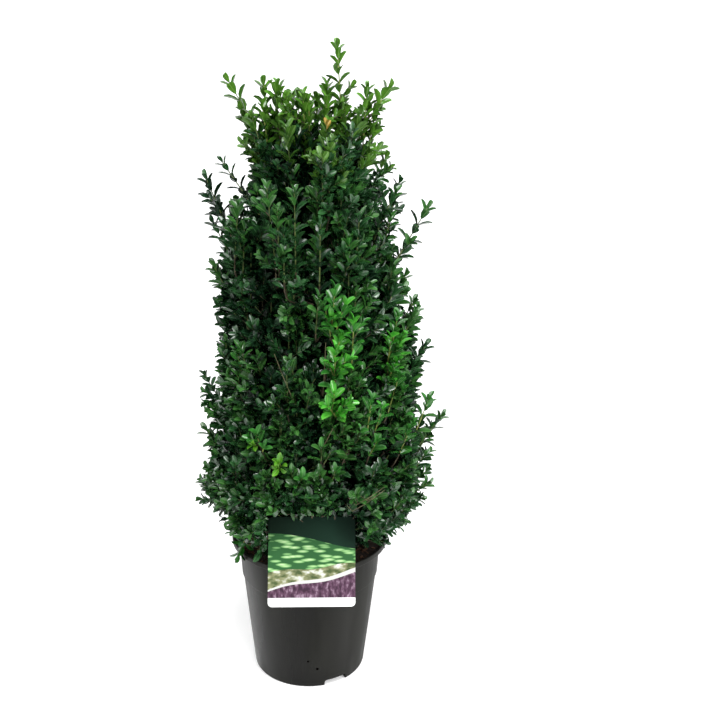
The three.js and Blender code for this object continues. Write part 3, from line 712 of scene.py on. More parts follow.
# %% [markdown]
# ## How the crown grows
#
# The crown follows a rule, so that the same plant comes out each time. Its outline is a clipped cone: the
# radius shrinks with height, draws in at the foot, bulges a little on one side, and closes at the top.
# Inside it, the crown is divided into cells, three tiers of sectors and a top, and each cell holds one mass
# of foliage that grows from one stem. The rule works in millimetres, and the meshes are scaled once.

# %% The outline
CROWN_BASE = 212
CROWN_TOP = 905
BASE_SIDE = 172  # radius of the tapering side, carried down to the base
TOP_SIDE = 100  # and carried up to the top
SHOULDER = 14
SKIRT = 0.15
SKIRT_PINCH = 0.6
BULGE = 0.085
BULGE_HEIGHT = 440
BULGE_SPAN = 130


def crown_share(height):
    """How far up the crown a height lies, from 0 to 1."""
    return min(max((height - CROWN_BASE) / (CROWN_TOP - CROWN_BASE), 0), 1)


def crown_radius(height, angle):
    """Radius of the crown at a height and in a direction."""
    share = crown_share(height)
    side = mix(BASE_SIDE, TOP_SIDE, share) * math.sqrt(1 - share**SHOULDER)
    foot = math.sqrt(1 - SKIRT_PINCH * max(1 - share / SKIRT, 0) ** 2)
    off = (height - BULGE_HEIGHT) / BULGE_SPAN
    return side * foot * (1 + BULGE * math.exp(-off * off) * math.cos(angle))


print("crown radius up its height:", [round(crown_radius(h, 0)) for h in range(220, 920, 100)])

# %% [markdown]
# A floor is a cone-shaped surface, given by its height at one radius and its slope. Each mass knows its
# sector, its inner wall, the floor under it and the floor over it.

# %% The cells
# The floor of each tier: a radius, its height there, and its slope.
FLOORS = {
    "lower": (150, 226, 0),
    "middle": (154, 400, 0.9),
    "upper": (134, 570, 1.2),
    "top": (105, 740, 1.4),
}
OPEN_SKY = (0, 2 * CROWN_TOP, 0)
# Each tier, the one over it, its number of sectors, the direction of the first, the radius of its inner wall,
# and how thick its boughs are.
TIERS = [
    ("lower", "middle", 6, -90, 45, 5.4),
    ("middle", "upper", 5, -90, 45, 4.7),
    ("upper", "top", 4, -65, 41, 3.9),
]
STEM_TIP = 700
STEM_TIP_RADIUS = 3.4
BOUGH_STAGGER = 7


def floor_at(floor, radius):
    """Height of a floor at a distance from the axis."""
    at_radius, height, slope = floor
    return height + slope * (radius - at_radius)


def sector_mass(level, i, tier, over, sectors, turn, inner, thickness):
    """One mass of a tier, with its cell."""
    return {
        "node": f"foliage_{tier}_{i + 1}",
        "bough": f"bough_{tier}_{i + 1}",
        "tier": tier,
        "seed": 100 * (level + 1) + i,
        "middle": turn * DEGREE + i * TURN / sectors,
        "half": math.pi / sectors,
        "lift": (i - (sectors - 1) / 2) * BOUGH_STAGGER,
        "inner": inner,
        "thickness": thickness,
        "floor": FLOORS[tier],
        "ceiling": FLOORS[over],
    }


masses = [sector_mass(level, i, *tier) for level, tier in enumerate(TIERS) for i in range(tier[2])]
top = {"node": "foliage_top", "tier": "top", "seed": 400, "middle": 0.0, "half": math.pi, "inner": 0}
masses.append({**top, "thickness": STEM_TIP_RADIUS, "floor": FLOORS["top"], "ceiling": OPEN_SKY})
print("masses:", len(masses))

# %% [markdown]
# Chance is rolled with a small number generator that any language can repeat. Places for numbered shoots
# come from a sequence that spreads evenly however far it is carried, so the first shoots stand where the
# source's stand, and the finer ones fill the room between them.

# %% Chance and even spacing
ACROSS_STEP = 0.7548776662
UP_STEP = 0.569840291
SEED_STEP = 0.37


def dice(seed):
    """A repeatable stream of numbers from 0 to 1."""
    state = seed & 0xFFFFFFFF

    def roll():
        nonlocal state
        state = (state * 1664525 + 1013904223) & 0xFFFFFFFF
        return state / 2**32

    return roll


def even_share(mass, number, step):
    """The numbered place, from 0 to 1, of an even spread."""
    return (0.5 + number * step + mass["seed"] * SEED_STEP) % 1


def turn_to(start, end):
    """The angle from one direction to another, from -180 to 180 degrees."""
    return math.atan2(math.sin(end - start), math.cos(end - start))


# %% The label's room
# Foliage keeps out of the way of a look at the label.
CARD_FOOT = np.array([HINGE_Y, HINGE_Z]) / MM
CARD_UP = np.array([math.sin(LABEL_LEAN), math.cos(LABEL_LEAN)])
CARD_TOP = CARD_FOOT + CARD_UP * (LABEL_LENGTH - LABEL_BELOW_RIM) / MM
LOOK_SLOPE = 0.53


def in_label_room(points, margin):
    """For each point, whether it is in front of the card or in the way of a look at it."""
    points = np.atleast_2d(points)
    beside = np.abs(points[:, 0] - LABEL_RIGHT / MM) > LABEL_WIDTH / MM / 2 + margin
    behind = (points[:, 1] - CARD_FOOT[0]) * CARD_UP[1] - (points[:, 2] - CARD_FOOT[1]) * CARD_UP[0]
    ceiling = CARD_TOP[1] + margin + (CARD_TOP[0] - points[:, 1]) * LOOK_SLOPE
    return ~beside & (behind < margin) & (points[:, 2] < ceiling)


def in_cell(mass, point, margin):
    """Whether a point is inside a mass's cell, clear of its walls by a margin."""
    radius = math.hypot(point[0], point[1])
    if point[2] < floor_at(mass["floor"], radius) + margin:
        return False
    if point[2] > floor_at(mass["ceiling"], radius) - margin:
        return False
    if in_label_room(point, margin + 1)[0]:
        return False
    if mass["tier"] == "top":
        return True
    off = abs(turn_to(mass["middle"], math.atan2(point[1], point[0])))
    return radius > mass["inner"] + margin and radius * math.sin(mass["half"] - off) > margin


# %% [markdown]
# ## The main stem and the boughs
#
# The stem flares at the soil, tapers and sways a little. Each bough leaves it at a slant and ends where it
# enters its mass. A limb is easiest as a curve: its line follows a few points, its section is round, and each
# point has its own radius. Once it is a mesh, it is subdivided, and a Displace modifier raises its bark.

# %% Stem and bough lines
STEM_FOOT = SOIL_TOP / MM + 0.3
FOOT_RADIUS = 12
STEM_TAPER = 0.8
FLARE = 7
FLARE_HEIGHT = 26
SWAY = 5
BENDS = (4.2, 5.5)
STEM_STEPS = 28
BOUGH_TIP_SHARE = 0.68
BOUGH_TIP_LIFT = 0.42
BOUGH_RISE = 0.75
BOUGH_LOWEST = 14
BOUGH_ROOT_DEPTH = 3
BOUGH_SAG = 3


def stem_point(share):
    """A point on the stem's middle line."""
    sway = [SWAY * math.sin(share * bend) for bend in BENDS]
    return np.array([*sway, mix(STEM_FOOT, STEM_TIP, share)])


def stem_radius(share):
    """The stem's radius, flared at its foot."""
    rise = share * (STEM_TIP - STEM_FOOT)
    return mix(FOOT_RADIUS, STEM_TIP_RADIUS, share**STEM_TAPER) + FLARE * math.exp(-rise / FLARE_HEIGHT)


def bough_points(mass):
    """Root, waist and tip of a mass's bough."""
    inner, middle = mass["inner"], mass["middle"]
    height = mix(floor_at(mass["floor"], inner), floor_at(mass["ceiling"], inner), BOUGH_TIP_LIFT)
    tip = polar(middle, inner, height)
    root_height = max(height - BOUGH_RISE * inner + mass["lift"], STEM_FOOT + BOUGH_LOWEST)
    share = (root_height - STEM_FOOT) / (STEM_TIP - STEM_FOOT)
    root = stem_point(share) + polar(middle, stem_radius(share) - BOUGH_ROOT_DEPTH, 0)
    waist = (root + tip) / 2 - np.array([0, 0, BOUGH_SAG])
    return [root, waist, tip]


# %% Limbs as curves
def limb_curve(name, lines):
    """A mesh of round tapering limbs. Each line is a list of (point, radius), in millimetres."""
    curve = bpy.data.curves.new(name, "CURVE")
    curve.dimensions = "3D"
    curve.bevel_depth = 1
    curve.bevel_resolution = 6
    curve.resolution_u = 6
    curve.use_fill_caps = True
    for line in lines:
        spline = curve.splines.new("NURBS")
        spline.points.add(len(line) - 1)
        spline.use_endpoint_u = True
        spline.order_u = 3
        for knot, (point, radius) in zip(spline.points, line):
            knot.co = (*(point * MM), 1)
            knot.radius = radius * MM
    only(new_object(name, curve))
    bpy.ops.object.convert(target="MESH")
    return bpy.context.object


stem_line = [(stem_point(share), stem_radius(share)) for share in np.arange(STEM_STEPS + 1) / STEM_STEPS]
stem = limb_curve("barked_stem", [stem_line])
bough_lines = []
for mass in masses[:-1]:
    widths = [mass["thickness"] * mix(1, BOUGH_TIP_SHARE, i / 2) for i in range(3)]
    bough_lines.append(list(zip(bough_points(mass), widths)))
boughs = limb_curve("barked_boughs", bough_lines)
print("limbs:", 1 + len(bough_lines))

# %% Raise the bark
ridges = bpy.data.textures.new("bark_ridges", "CLOUDS")
ridges.noise_scale = 5 * MM
relief = {"texture": ridges, "texture_coords": "LOCAL", "mid_level": 0.6}
for piece, strength in ((stem, 1.6 * MM), (boughs, 0.7 * MM)):
    apply_modifier(piece, "SUBSURF", levels=1, render_levels=1)
    apply_modifier(piece, "DISPLACE", strength=strength, **relief)
    smooth(piece, angle=60 * DEGREE)

bark, tree, shader = new_material("boxwood_bark", roughness=0.8, specular=0.3)
furrows = noise(tree, scale=160, detail=4, stretch=(1, 1, 0.25))
BARK = [(0.3, (0.05, 0.035, 0.02)), (0.52, (0.17, 0.125, 0.07)), (0.75, (0.32, 0.26, 0.16))]
vary(tree, shader, "Base Color", furrows, BARK)
bump(tree, shader, furrows, strength=0.7, distance=0.8 * MM)
finish_piece(stem, bark, "bark", "main_stem")
finish_piece(boughs, bark, "bark", *[mass["bough"] for mass in masses[:-1]])

# %% [markdown]
# ## Shoots
#
# Each mass forks at its heart into shoots. A shoot runs in the shade without leaves and bends where it comes
# to the light. Its last length is straight and carries the leaves, and its tip lies near the crown's outline.
# The frame's masses have a few coarse shoots that follow this rule. Here it is carried on to finer ones that
# stand steeper and deeper in, and bear side twigs in the axils of their leaves. Near the top they are long,
# upright and apart, and round the foot they are short, lean outwards and branch more.

# %% The shoots' sizes
CORE_TOP = 838
HEART_OUTWARD = 32
HEART_LIFT = 0.45
HEART_TOP_LIFT = 0.3
SHOOT_LENGTH = 86
LENGTH_SPREAD = 14
SIDE_SHARE = 0.94
SWING = 44 * DEGREE
LEAN = 14 * DEGREE
OVERHANG = 8
LOW_RISE = 46 * DEGREE
TOP_RISE = 80 * DEGREE
TIP_GAP = 5
ROOT_DEPTH = 0.45
LONG_STEEPNESS = 1.35
SHOOT_ROOT = 1.5
SHOOT_TIP = 0.6

# What the finer shoots of each tier are like: how many there are, how many of the first are the frame's,
# how long they are beside the frame's, how steep they stand at the tier's foot and top, how low a tip may
# be, how far in from the outline they start and end, how soon they thicken inwards, how often a leaf's axil
# bears a side twig, how large the leaves are, and how far the old ones spread.
HABIT = "count coarse longer steep climb inside thicken side_twigs leaf_size old_spread".split()
HABIT_SIZES = {
    "lower": (79, 2, 0.85, (20, 62), 10, (2, 50), 1.25, 0.55, 0.97, 60),
    "middle": (76, 2, 1.1, (58, 78), 30, (0, 55), 1.1, 0.45, 1.0, 56),
    "upper": (76, 2, 1.45, (70, 82), 40, (2, 60), 0.95, 0.28, 1.01, 50),
    "top": (170, 9, 1.5, (72, 86), 34, (10, 74), 0.85, 0.2, 0.96, 40),
}
HABITS = {tier: dict(zip(HABIT, sizes)) for tier, sizes in HABIT_SIZES.items()}
for habit in HABITS.values():
    habit["steep"] = tuple(angle * DEGREE for angle in habit["steep"])
    habit["old_spread"] *= DEGREE
FINE_TOP = 868  # how high the finer shoots reach at the top, apart from those that have outgrown the rest
FINE_TOP_SPREAD = 42
FINE_SWING = 70 * DEGREE
# Hollows in the crown, where the finer shoots stand further in: compass direction and height of the middle,
# half the width, half the height, and the depth. A depth below 0 is a swelling.
HOLLOWS = [
    (-89, 668, 12, 88, 50),
    (-112, 590, 7, 40, 16),
    (-47, 596, 6, 50, 26),
    (-104, 800, 8, 30, 26),
    (-96, 470, 6, 40, 18),
    (-70, 700, 5, 40, 20),
    (70, 600, 9, 60, 26),
    (165, 480, 8, 60, 24),
    (-4, 425, 32, 80, -11),
    (178, 620, 26, 44, -12),
    (178, 430, 22, 40, -6),
    (0, 822, 26, 30, 13),
    (0, 682, 16, 26, 8),
]
CELL_SLACK = -8
LOWEST_BEND = 230

# Shoots that have outgrown the rest: compass direction, radius and height of the tip, length, how much
# steeper than the rule the shoot stands, how fresh its leaves are, and how much larger. The frame has these
# shoots too.
# A freshness below 0 gives darker greens, which paint the shade of side shoots that stand edge-on to the
# light.
LONG_SHOOTS = {
    "top": [
        (6, 33, 940, 150, 11, 0.1, 1.06), (180, 114, 892, 120, 0, 0, 1.06),
        (2, 107, 887, 120, 0, 0.04, 1.06), (200, 49, 890, 96, 0, 0.1, 1),
    ],
    "upper": [
        (180, 146, 764, 100, -2, -0.2, 1), (4, 124, 762, 96, 0, -0.14, 1), (357, 165, 729, 124, 0, 0.1, 1),
        (184, 138, 706, 100, 0, 0.06, 1),
    ],
    "middle": [
        (3, 156, 580, 96, 0, 0.12, 1), (352, 169, 534, 96, 0, 0.04, 1), (177, 162, 448, 96, 0, -0.04, 1),
        (184, 154, 424, 90, 0, -0.04, 1),
    ],
    "lower": [
        (356, 198, 423, 110, 0, 0, 1), (8, 190, 345, 96, 0, 0, 1), (349, 178, 292, 84, 0, -0.06, 1),
        (186, 172, 284, 90, 0, 0.06, 1),
    ],
}

# Finer shoots with a place of their own, mostly bright ones on the front: compass direction, radius and
# height of the tip, length, steepness, swing sideways, and how fresh the leaves are.
# Here too a freshness below 0 gives darker greens; on the side shoots this paints their shade.
NAMED_SHOOTS = {
    "top": [
        (0, 74, 889, 130, 87, 0, 0.14), (184, 64, 890, 130, 86, 0, 0.2), (200, 70, 866, 120, 80, 30, 0.2),
        (-145, 40, 868, 110, 86, 0, 0.2), (180, 19, 874, 110, 86, 0, 0.2),
        (-120, 23, 878, 110, 86, 0, 0.26), (-100, 22, 872, 110, 86, 0, 0.22),
        (26, 23, 889, 110, 88, 0, 0.12), (-40, 26, 874, 110, 86, 0, 0.18), (20, 48, 870, 110, 82, 0, 0.2),
        (120, 56, 872, 120, 82, 0, 0.2), (80, 40, 870, 120, 82, 0, 0.2), (-72, 62, 846, 120, 83, 0, -0.16),
        (-120, 64, 838, 120, 83, 0, -0.22), (-20, 70, 856, 130, 78, 20, 0.1),
        (176, 96, 858, 110, 72, 0, 0.12), (190, 84, 842, 110, 76, 0, 0.16),
    ],
    "upper": [
        (184, 126, 788, 110, 56, 0, -0.16), (-14, 120, 752, 110, 66, 0, -0.05),
        (194, 124, 706, 110, 70, 0, 0), (-121, 112, 769, 130, 84, -60, 0.02),
        (-112, 116, 742, 110, 86, 0, -0.04), (-101, 113, 765, 150, 86, 0, 0.14),
        (-84, 112, 726, 120, 86, 0, 0), (-58, 118, 735, 130, 84, 0, 0.06),
        (-10, 116, 672, 110, 66, 20, 0.1), (2, 137, 630, 80, 66, 0, 0), (-5, 135, 614, 70, 60, 0, 0.05),
        (-76, 131, 642, 84, 82, 20, 0.42), (-83, 129, 622, 70, 76, -60, 0.38),
        (-69, 131, 620, 60, 72, 60, 0.4), (-78, 134, 604, 44, 50, 0, 0.34),
        (181, 139, 642, 80, 64, 0, 0.05), (174, 138, 630, 80, 60, 0, 0),
    ],
    "middle": [
        (-66, 138, 602, 104, 86, 0, 0.4), (-71, 136, 580, 60, 68, 60, 0.36),
        (-77, 143, 566, 76, 84, 0, 0.44), (-82, 140, 546, 48, 64, -60, 0.34),
        (-72, 144, 540, 48, 62, 50, 0.34), (-34, 143, 596, 130, 80, 0, 0.64),
        (-40, 142, 568, 80, 72, -40, 0.56), (-28, 146, 560, 80, 68, 40, 0.56),
        (-36, 148, 530, 70, 66, 0, 0.5), (-78, 151, 508, 56, 72, 0, 0.95), (-83, 151, 488, 44, 50, -50, 1),
        (-68, 153, 490, 46, 42, 50, 1.05), (-74, 154, 474, 36, 32, 0, 1.05), (4, 152, 590, 80, 62, 0, 0.1),
        (-6, 152, 576, 80, 62, 0, 0.06), (-58, 155, 494, 70, 80, 0, 0.42), (-50, 154, 474, 60, 70, 0, 0.36),
    ],
    "lower": [
        (-64, 158, 450, 50, 56, 0, 0.36), (-54, 158, 430, 50, 60, 0, 0.3),
        (-121, 146, 440, 40, 66, 0, 0.26), (-127, 146, 428, 30, 40, -40, 0.3),
        (-114, 149, 424, 30, 50, 40, 0.2), (-123, 151, 417, 27, 20, 0, 2.3),
        (-106, 156, 406, 27, 50, 0, 2.3), (-107, 157, 392, 26, 15, 0, 2.3),
        (-100, 152, 394, 50, 60, 0, 0.12), (-93, 152, 386, 46, 54, 30, 0.2),
        (-86, 153, 392, 50, 58, -20, 0.1), (-77, 155, 396, 50, 54, 0, 0.16),
        (-97, 150, 374, 40, 44, 0, 0.04), (182, 158, 396, 70, 52, 0, 0), (177, 161, 330, 60, 40, 0, 0.06),
        (172, 172, 300, 60, 38, 0, 0.04), (4, 184, 322, 70, 45, 0, 0.05), (-7, 184, 316, 60, 40, 0, 0.1),
        (-84, 150, 432, 44, 70, 0, 0.04), (-78, 152, 424, 40, 60, 40, 0.1),
        (-70, 154, 436, 40, 66, 0, 0.16), (-88, 150, 352, 40, 60, 0, 0.2), (-30, 168, 442, 80, 70, 0, 0.2),
        (-12, 176, 458, 90, 72, 0, 0.2), (-2, 182, 402, 70, 62, 20, 0.1), (-18, 178, 380, 70, 62, 0, 0.12),
    ],
}

LONG_SIDE_TWIGS = 0.3
NAMED_SIDE_TWIGS = 0.12
# The deepest shoots are made less fresh so that they take darker greens, which paint the shade inside the
# crown.
SHADE = 0.55  # how much less fresh the deepest shoots are
LONGER_OR_SHORTER = (0.8, 1.2)
SETTLING_STEPS = 20
SEEDS_APART = 1000  # from mass to mass
LEAF_SEEDS = 500  # from a shoot's own seed to the one of its leaves

# A tuft that hangs over the pot's rim: its tier, and the sizes of a shoot with a place of its own.
RIM_TUFT = ("lower", -146, 130, 209, 42, -64, 0, 0.42)


def heart_of(mass):
    """Where a mass's stem forks into shoots."""
    if mass["tier"] == "top":
        return np.array([0, 0, mix(STEM_TIP, CORE_TOP, HEART_TOP_LIFT)])
    radius = mass["inner"] + HEART_OUTWARD
    height = mix(floor_at(mass["floor"], radius), floor_at(mass["ceiling"], radius), HEART_LIFT)
    return polar(mass["middle"], radius, height)


def settle(height_at, radius_at):
    """Where a height that follows from the radius meets a radius that follows from the height."""
    radius = TOP_SIDE
    for _ in range(SETTLING_STEPS):
        radius = mix(radius, radius_at(height_at(radius)), 0.5)
    return radius, height_at(radius)


# %% Growing a shoot
def shoot_to(mass, tip, at, rise, length, turn, fresh, side_twigs):
    """A shoot whose last length ends at the given tip."""
    direction = polar(at, math.cos(rise), math.sin(rise))
    bend = tip - direction * length
    return {
        "start": mix(bend, heart_of(mass), ROOT_DEPTH),
        "bend": bend,
        "tip": tip,
        "direction": direction,
        "side": polar(at + TURN / 4, 1, 0),
        "turn": turn,
        "fresh": fresh,
        "side_twigs": side_twigs,
    }


def hollow_at(at, height):
    """How much further in the finer shoots stand, in a direction and at a height."""
    depth = 0
    for direction, middle, half_width, half_height, deepest in HOLLOWS:
        across = turn_to(direction * DEGREE, at) / (half_width * DEGREE)
        depth += deepest * math.exp(-(across**2) - ((height - middle) / half_height) ** 2)
    return depth


def grow_shoot(mass, number):
    """One shoot, worked out from its number in the mass."""
    habit = HABITS[mass["tier"]]
    fine = number >= habit["coarse"]
    roll = dice(mass["seed"] * SEEDS_APART + number)
    roll()
    across = even_share(mass, number, ACROSS_STEP) * 2 - 1
    up = even_share(mass, number, UP_STEP)
    at = mass["middle"] + across * mass["half"] * (1 if fine else SIDE_SHARE)
    length = SHOOT_LENGTH + (roll() * 2 - 1) * LENGTH_SPREAD
    overhang = mix(-OVERHANG, OVERHANG, roll())
    swing = (roll() - 0.5) * SWING
    lean = (roll() - 0.5) * LEAN
    highest = min(mass["ceiling"][1], CROWN_TOP)
    nominal = crown_share(mix(mass["floor"][1], highest, up))
    rise = mix(LOW_RISE, TOP_RISE, nominal) + lean
    climb = max(length * (math.sin(rise) - mass["floor"][2] * math.cos(rise)), 0) + TIP_GAP
    turn = roll() * math.pi
    depth, top, hollow = 0, CROWN_TOP, 0
    if fine:
        length *= habit["longer"] * mix(*LONGER_OR_SHORTER, roll())
        rise = mix(*habit["steep"], up) + 2 * lean
        swing = (roll() - 0.5) * FINE_SWING
        climb = habit["climb"]
        depth = roll() ** habit["thicken"]
        overhang = -mix(*habit["inside"], depth)
        top = FINE_TOP - FINE_TOP_SPREAD * roll()
        hollow = 1

    def top_at(radius):
        return min(floor_at(mass["ceiling"], radius), top) - TIP_GAP

    def low_at(radius):
        return min(floor_at(mass["floor"], radius) + climb, top_at(radius))

    radius, height = settle(
        lambda r: mix(low_at(r), top_at(r), up),
        lambda h: crown_radius(h, at) + overhang - hollow * hollow_at(at, h),
    )
    tip = polar(at, radius, height)
    # A shoot further in is made less fresh, so its leaves take darker greens: painted shade.
    return shoot_to(mass, tip, at + swing, rise, length, turn, -SHADE * depth, habit["side_twigs"])


def grow_long_shoot(mass, degrees, radius, height, length, steeper, fresh, larger):
    """A shoot that has outgrown the rest."""
    at = degrees * DEGREE
    tip = polar(at, radius, height)
    run = tip - heart_of(mass)
    rise = math.atan2(run[2] * LONG_STEEPNESS, math.hypot(run[0], run[1])) + steeper * DEGREE
    return {**shoot_to(mass, tip, at, rise, length, at, fresh, LONG_SIDE_TWIGS), "larger": larger}


def grow_named_shoot(mass, degrees, radius, height, length, rise, swing, fresh):
    """A finer shoot with a place of its own."""
    at = degrees * DEGREE
    tip = polar(at, radius, height)
    return shoot_to(mass, tip, at + swing * DEGREE, rise * DEGREE, length, at, fresh, NAMED_SIDE_TWIGS)


def at_home(mass, degrees):
    """Whether a direction lies in a mass's sector."""
    return abs(turn_to(mass["middle"], degrees * DEGREE)) <= mass["half"]


def shoots_of(mass):
    """All the shoots of a mass that keep to its cell."""
    habit = HABITS[mass["tier"]]
    coarse = [grow_shoot(mass, number) for number in range(habit["coarse"])]
    fine = [grow_shoot(mass, number) for number in range(habit["coarse"], habit["count"])]
    shoots = [s for s in coarse if in_cell(mass, s["bend"], 0) and in_cell(mass, s["tip"], 0)]
    shoots += [s for s in fine if in_cell(mass, s["tip"], CELL_SLACK) and s["bend"][2] > LOWEST_BEND]
    for grow, places in ((grow_long_shoot, LONG_SHOOTS), (grow_named_shoot, NAMED_SHOOTS)):
        shoots += [grow(mass, *sizes) for sizes in places[mass["tier"]] if at_home(mass, sizes[0])]
    tier, *sizes = RIM_TUFT
    if tier == mass["tier"] and at_home(mass, sizes[0]):
        shoots.append({**grow_named_shoot(mass, *sizes), "hangs": True})
    return shoots


sprays = [(mass, shoot) for mass in masses for shoot in shoots_of(mass)]
print("shoots:", len(sprays))

# %% [markdown]
# ## Fresh growth
#
# A boxwood's new leaves are a bright yellowish green, and darken over a summer. Fresh growth is strongest
# at the top of the cone and in a few tufts on its sides. Freshness is a number from below 0, for old leaves
# deep in the crown, whose darker greens paint the shade there, to over 1. Each shoot's freshness is worked
# out from where it stands, and then picks its green.

# %% Tufts of fresh growth
FRESH_TOP = (740, 880)  # heights between which the top grows fresher
FRESH_TOP_SHARE = 0.26
TUFT_SIZE = 34
# Compass direction and height of each tuft's middle, and how fresh it is.
TUFTS = [
    (-70, 575, 0.34),
    (-62, 510, 0.4),
    (-34, 545, 0.5),
    (-40, 450, 0.36),
    (-76, 620, 0.24),
    (-118, 430, 0.3),
    (-100, 600, 0.2),
    (-122, 720, 0.2),
    (-98, 330, 0.25),
    (-140, 520, 0.25),
    (-52, 680, 0.15),
    (60, 480, 0.5),
    (110, 380, 0.5),
    (150, 560, 0.5),
    (30, 330, 0.4),
    (80, 650, 0.5),
    (20, 600, 0.3),
]
tuft_places = [
    (polar(at * DEGREE, crown_radius(height, at * DEGREE), height), fresh) for at, height, fresh in TUFTS
]


def freshness_of(shoot):
    """How fresh a shoot's growth is, lowered for deeper shoots to paint their shade."""
    low, high = FRESH_TOP
    fresh = shoot["fresh"] + FRESH_TOP_SHARE * min(max((shoot["tip"][2] - low) / (high - low), 0), 1)
    for place, tuft in tuft_places:
        off = np.linalg.norm(shoot["tip"] - place) / TUFT_SIZE
        fresh += tuft * math.exp(-off * off)
    return fresh


# %% [markdown]
# ## Leaves
#
# A boxwood leaf is small and leathery, oval with its widest part past the middle, and folded a little along
# its midrib, with the tip curling down. Ten flat triangles give its outline, fold and curl, which is enough
# for so small a leaf. Its middle line has three points, and each of its edges four.

# %% One leaf
LEAF_LENGTH = 22.5
LEAF_WIDTH = 10
OLD_FOLD = 0.25
YOUNG_FOLD = 0.36
GROWN_FLAT = 0.5  # how fresh a leaf still is that keeps its full fold
LEAF_CURL = 0.17
RIB_STATIONS = (0, 0.5, 1)
EDGE_STATIONS = ((0.13, 0.42), (0.42, 0.92), (0.74, 1), (0.95, 0.6))
POINTS_PER_LEAF = len(RIB_STATIONS) + 2 * len(EDGE_STATIONS)

rib_points = [(t, 0) for t in RIB_STATIONS]
edge_points = [(t, side * width) for side in (1, -1) for t, width in EDGE_STATIONS]
template = np.array(rib_points + edge_points)


def half_leaf(a, b, c, d):
    """The triangles of one half, from the numbers of its four edge points."""
    return [(0, 1, a), (a, 1, b), (b, 1, c), (1, 2, c), (c, 2, d)]


left_half = half_leaf(3, 4, 5, 6)
right_half = [tuple(reversed(triangle)) for triangle in half_leaf(7, 8, 9, 10)]
LEAF_TRIANGLES = np.array(right_half + left_half)


def leaf_points(root, along, across, size, fresh):
    """The points of many leaves at once, one row for each."""
    up = np.cross(along, across)
    fold = mix(OLD_FOLD, YOUNG_FOLD, np.clip(fresh / GROWN_FLAT, 0, 1))[:, None, None]
    length = (LEAF_LENGTH * size)[:, None, None]
    half_width = (LEAF_WIDTH / 2 * size)[:, None, None]
    t, s = template[:, 0][None, :, None], template[:, 1][None, :, None]
    lift = fold * np.abs(s) * half_width * 2 - LEAF_CURL * t * t * length
    return (
        root[:, None, :]
        + along[:, None, :] * t * length
        + across[:, None, :] * s * half_width
        + up[:, None, :] * lift
    )


# %% [markdown]
# ## Setting the leaves on a shoot
#
# Leaves stand in opposite pairs, each pair a quarter turn from the last, closer together and smaller
# towards the tip. Young leaves hug the shoot and old ones spread out. A side twig starts in the axil of a
# leaf, leans out to the light, and carries a few pairs of its own.

# %% Leafing rule
FIRST_PAIR = 2  # how far back from the tip the first pair stands
YOUNG_SPACING = 6.5
PAIR_SPACING = 12
SPACED_AT = 30  # how far back the pairs stand fully apart
YOUNG_SIZE = 0.68
GROWN_AT = 20  # how far back the leaves have their full size
LEAF_SIZES = (0.86, 1.08)
YOUNG_SPREAD = 26 * DEGREE
OLD_AT = 45  # how far back the leaves are old and spread widest
SPREAD_JITTER = 18 * DEGREE
TWIST = 80 * DEGREE
YOUNG_FRESHER = 0.24  # how much fresher than the old leaves the young ones are
AXILS_FROM = 22  # how far back the first axils are that may bear a side twig

leaves = []
twigs = []


def pair_places(leafy, size):
    """Distances back from a shoot's tip at which its pairs of leaves stand."""
    places, back = [], FIRST_PAIR
    while back < leafy:
        places.append(back)
        back += mix(YOUNG_SPACING, PAIR_SPACING, min(back / SPACED_AT, 1)) * size
    return places


def set_leaf(roll, root, direction, out, spread, size, fresh, hangs):
    """Notes down one leaf."""
    along = direction * math.cos(spread) + out * math.sin(spread)
    across = unit(np.cross(direction, out))
    twist = (roll() - 0.5) * TWIST
    across = across * math.cos(twist) + np.cross(along, across) * math.sin(twist)
    leaves.append((root, along, across, size, fresh, hangs))


def leaf_out(roll, tip, direction, side, turn, leafy, size, old_spread, fresh, hangs=False):
    """Sets leaves along a straight stretch that ends at tip. Returns the axils, as (place, way out)."""
    axils = []
    other = np.cross(direction, side)
    for pair, back in enumerate(pair_places(leafy, size)):
        age = min(back / OLD_AT, 1)
        grown = mix(YOUNG_SIZE, 1, min(back / GROWN_AT, 1))
        place = tip - direction * back
        around = turn + pair * TURN / 4
        for half_turn in (0, math.pi):
            out = unit(side * math.cos(around + half_turn) + other * math.sin(around + half_turn))
            spread = mix(YOUNG_SPREAD, old_spread, age) + (roll() - 0.5) * SPREAD_JITTER
            leaf_size = size * grown * mix(*LEAF_SIZES, roll())
            set_leaf(roll, place, direction, out, spread, leaf_size, fresh + YOUNG_FRESHER * (1 - age), hangs)
            if back > AXILS_FROM:
                axils.append((place, out))
    return axils


# %% Leaf out all the shoots
BARE_LENGTH = 6
TIP_REACH = 10  # how far the last leaves reach past the twig's end
SHOOT_SIZES = (0.88, 1.12)
SHOOT_FRESHNESS = 0.42  # how much shoots differ in freshness by chance
SIDE_TWIG_LENGTH = (20, 46)
SIDE_TWIG_ANGLE = 46 * DEGREE
SIDE_TWIG_ANGLES = (0.7, 1.3)
SIDE_TWIG_RADII = (0.8, 0.45)
SIDE_TWIG_BARE = 4
SIDE_LEAF_SIZE = 0.9
SIDE_DULLER = 0.06  # how much less fresh than its shoot a side twig is
LIGHT_FROM = 0.6  # how much the light outside a shoot comes from above
LIGHT_PULL = 0.3
SHADED = -0.35  # an axil that faces away from the light by more than this stays bare
OFF_AXIS = np.array([0.01, 0.02, 0.3])
OUTLINE_ALLOWANCE = 4
LONG_ALLOWANCE = 30


def outside(point):
    """How far a point stands out of the crown's outline."""
    return math.hypot(point[0], point[1]) - crown_radius(point[2], math.atan2(point[1], point[0]))


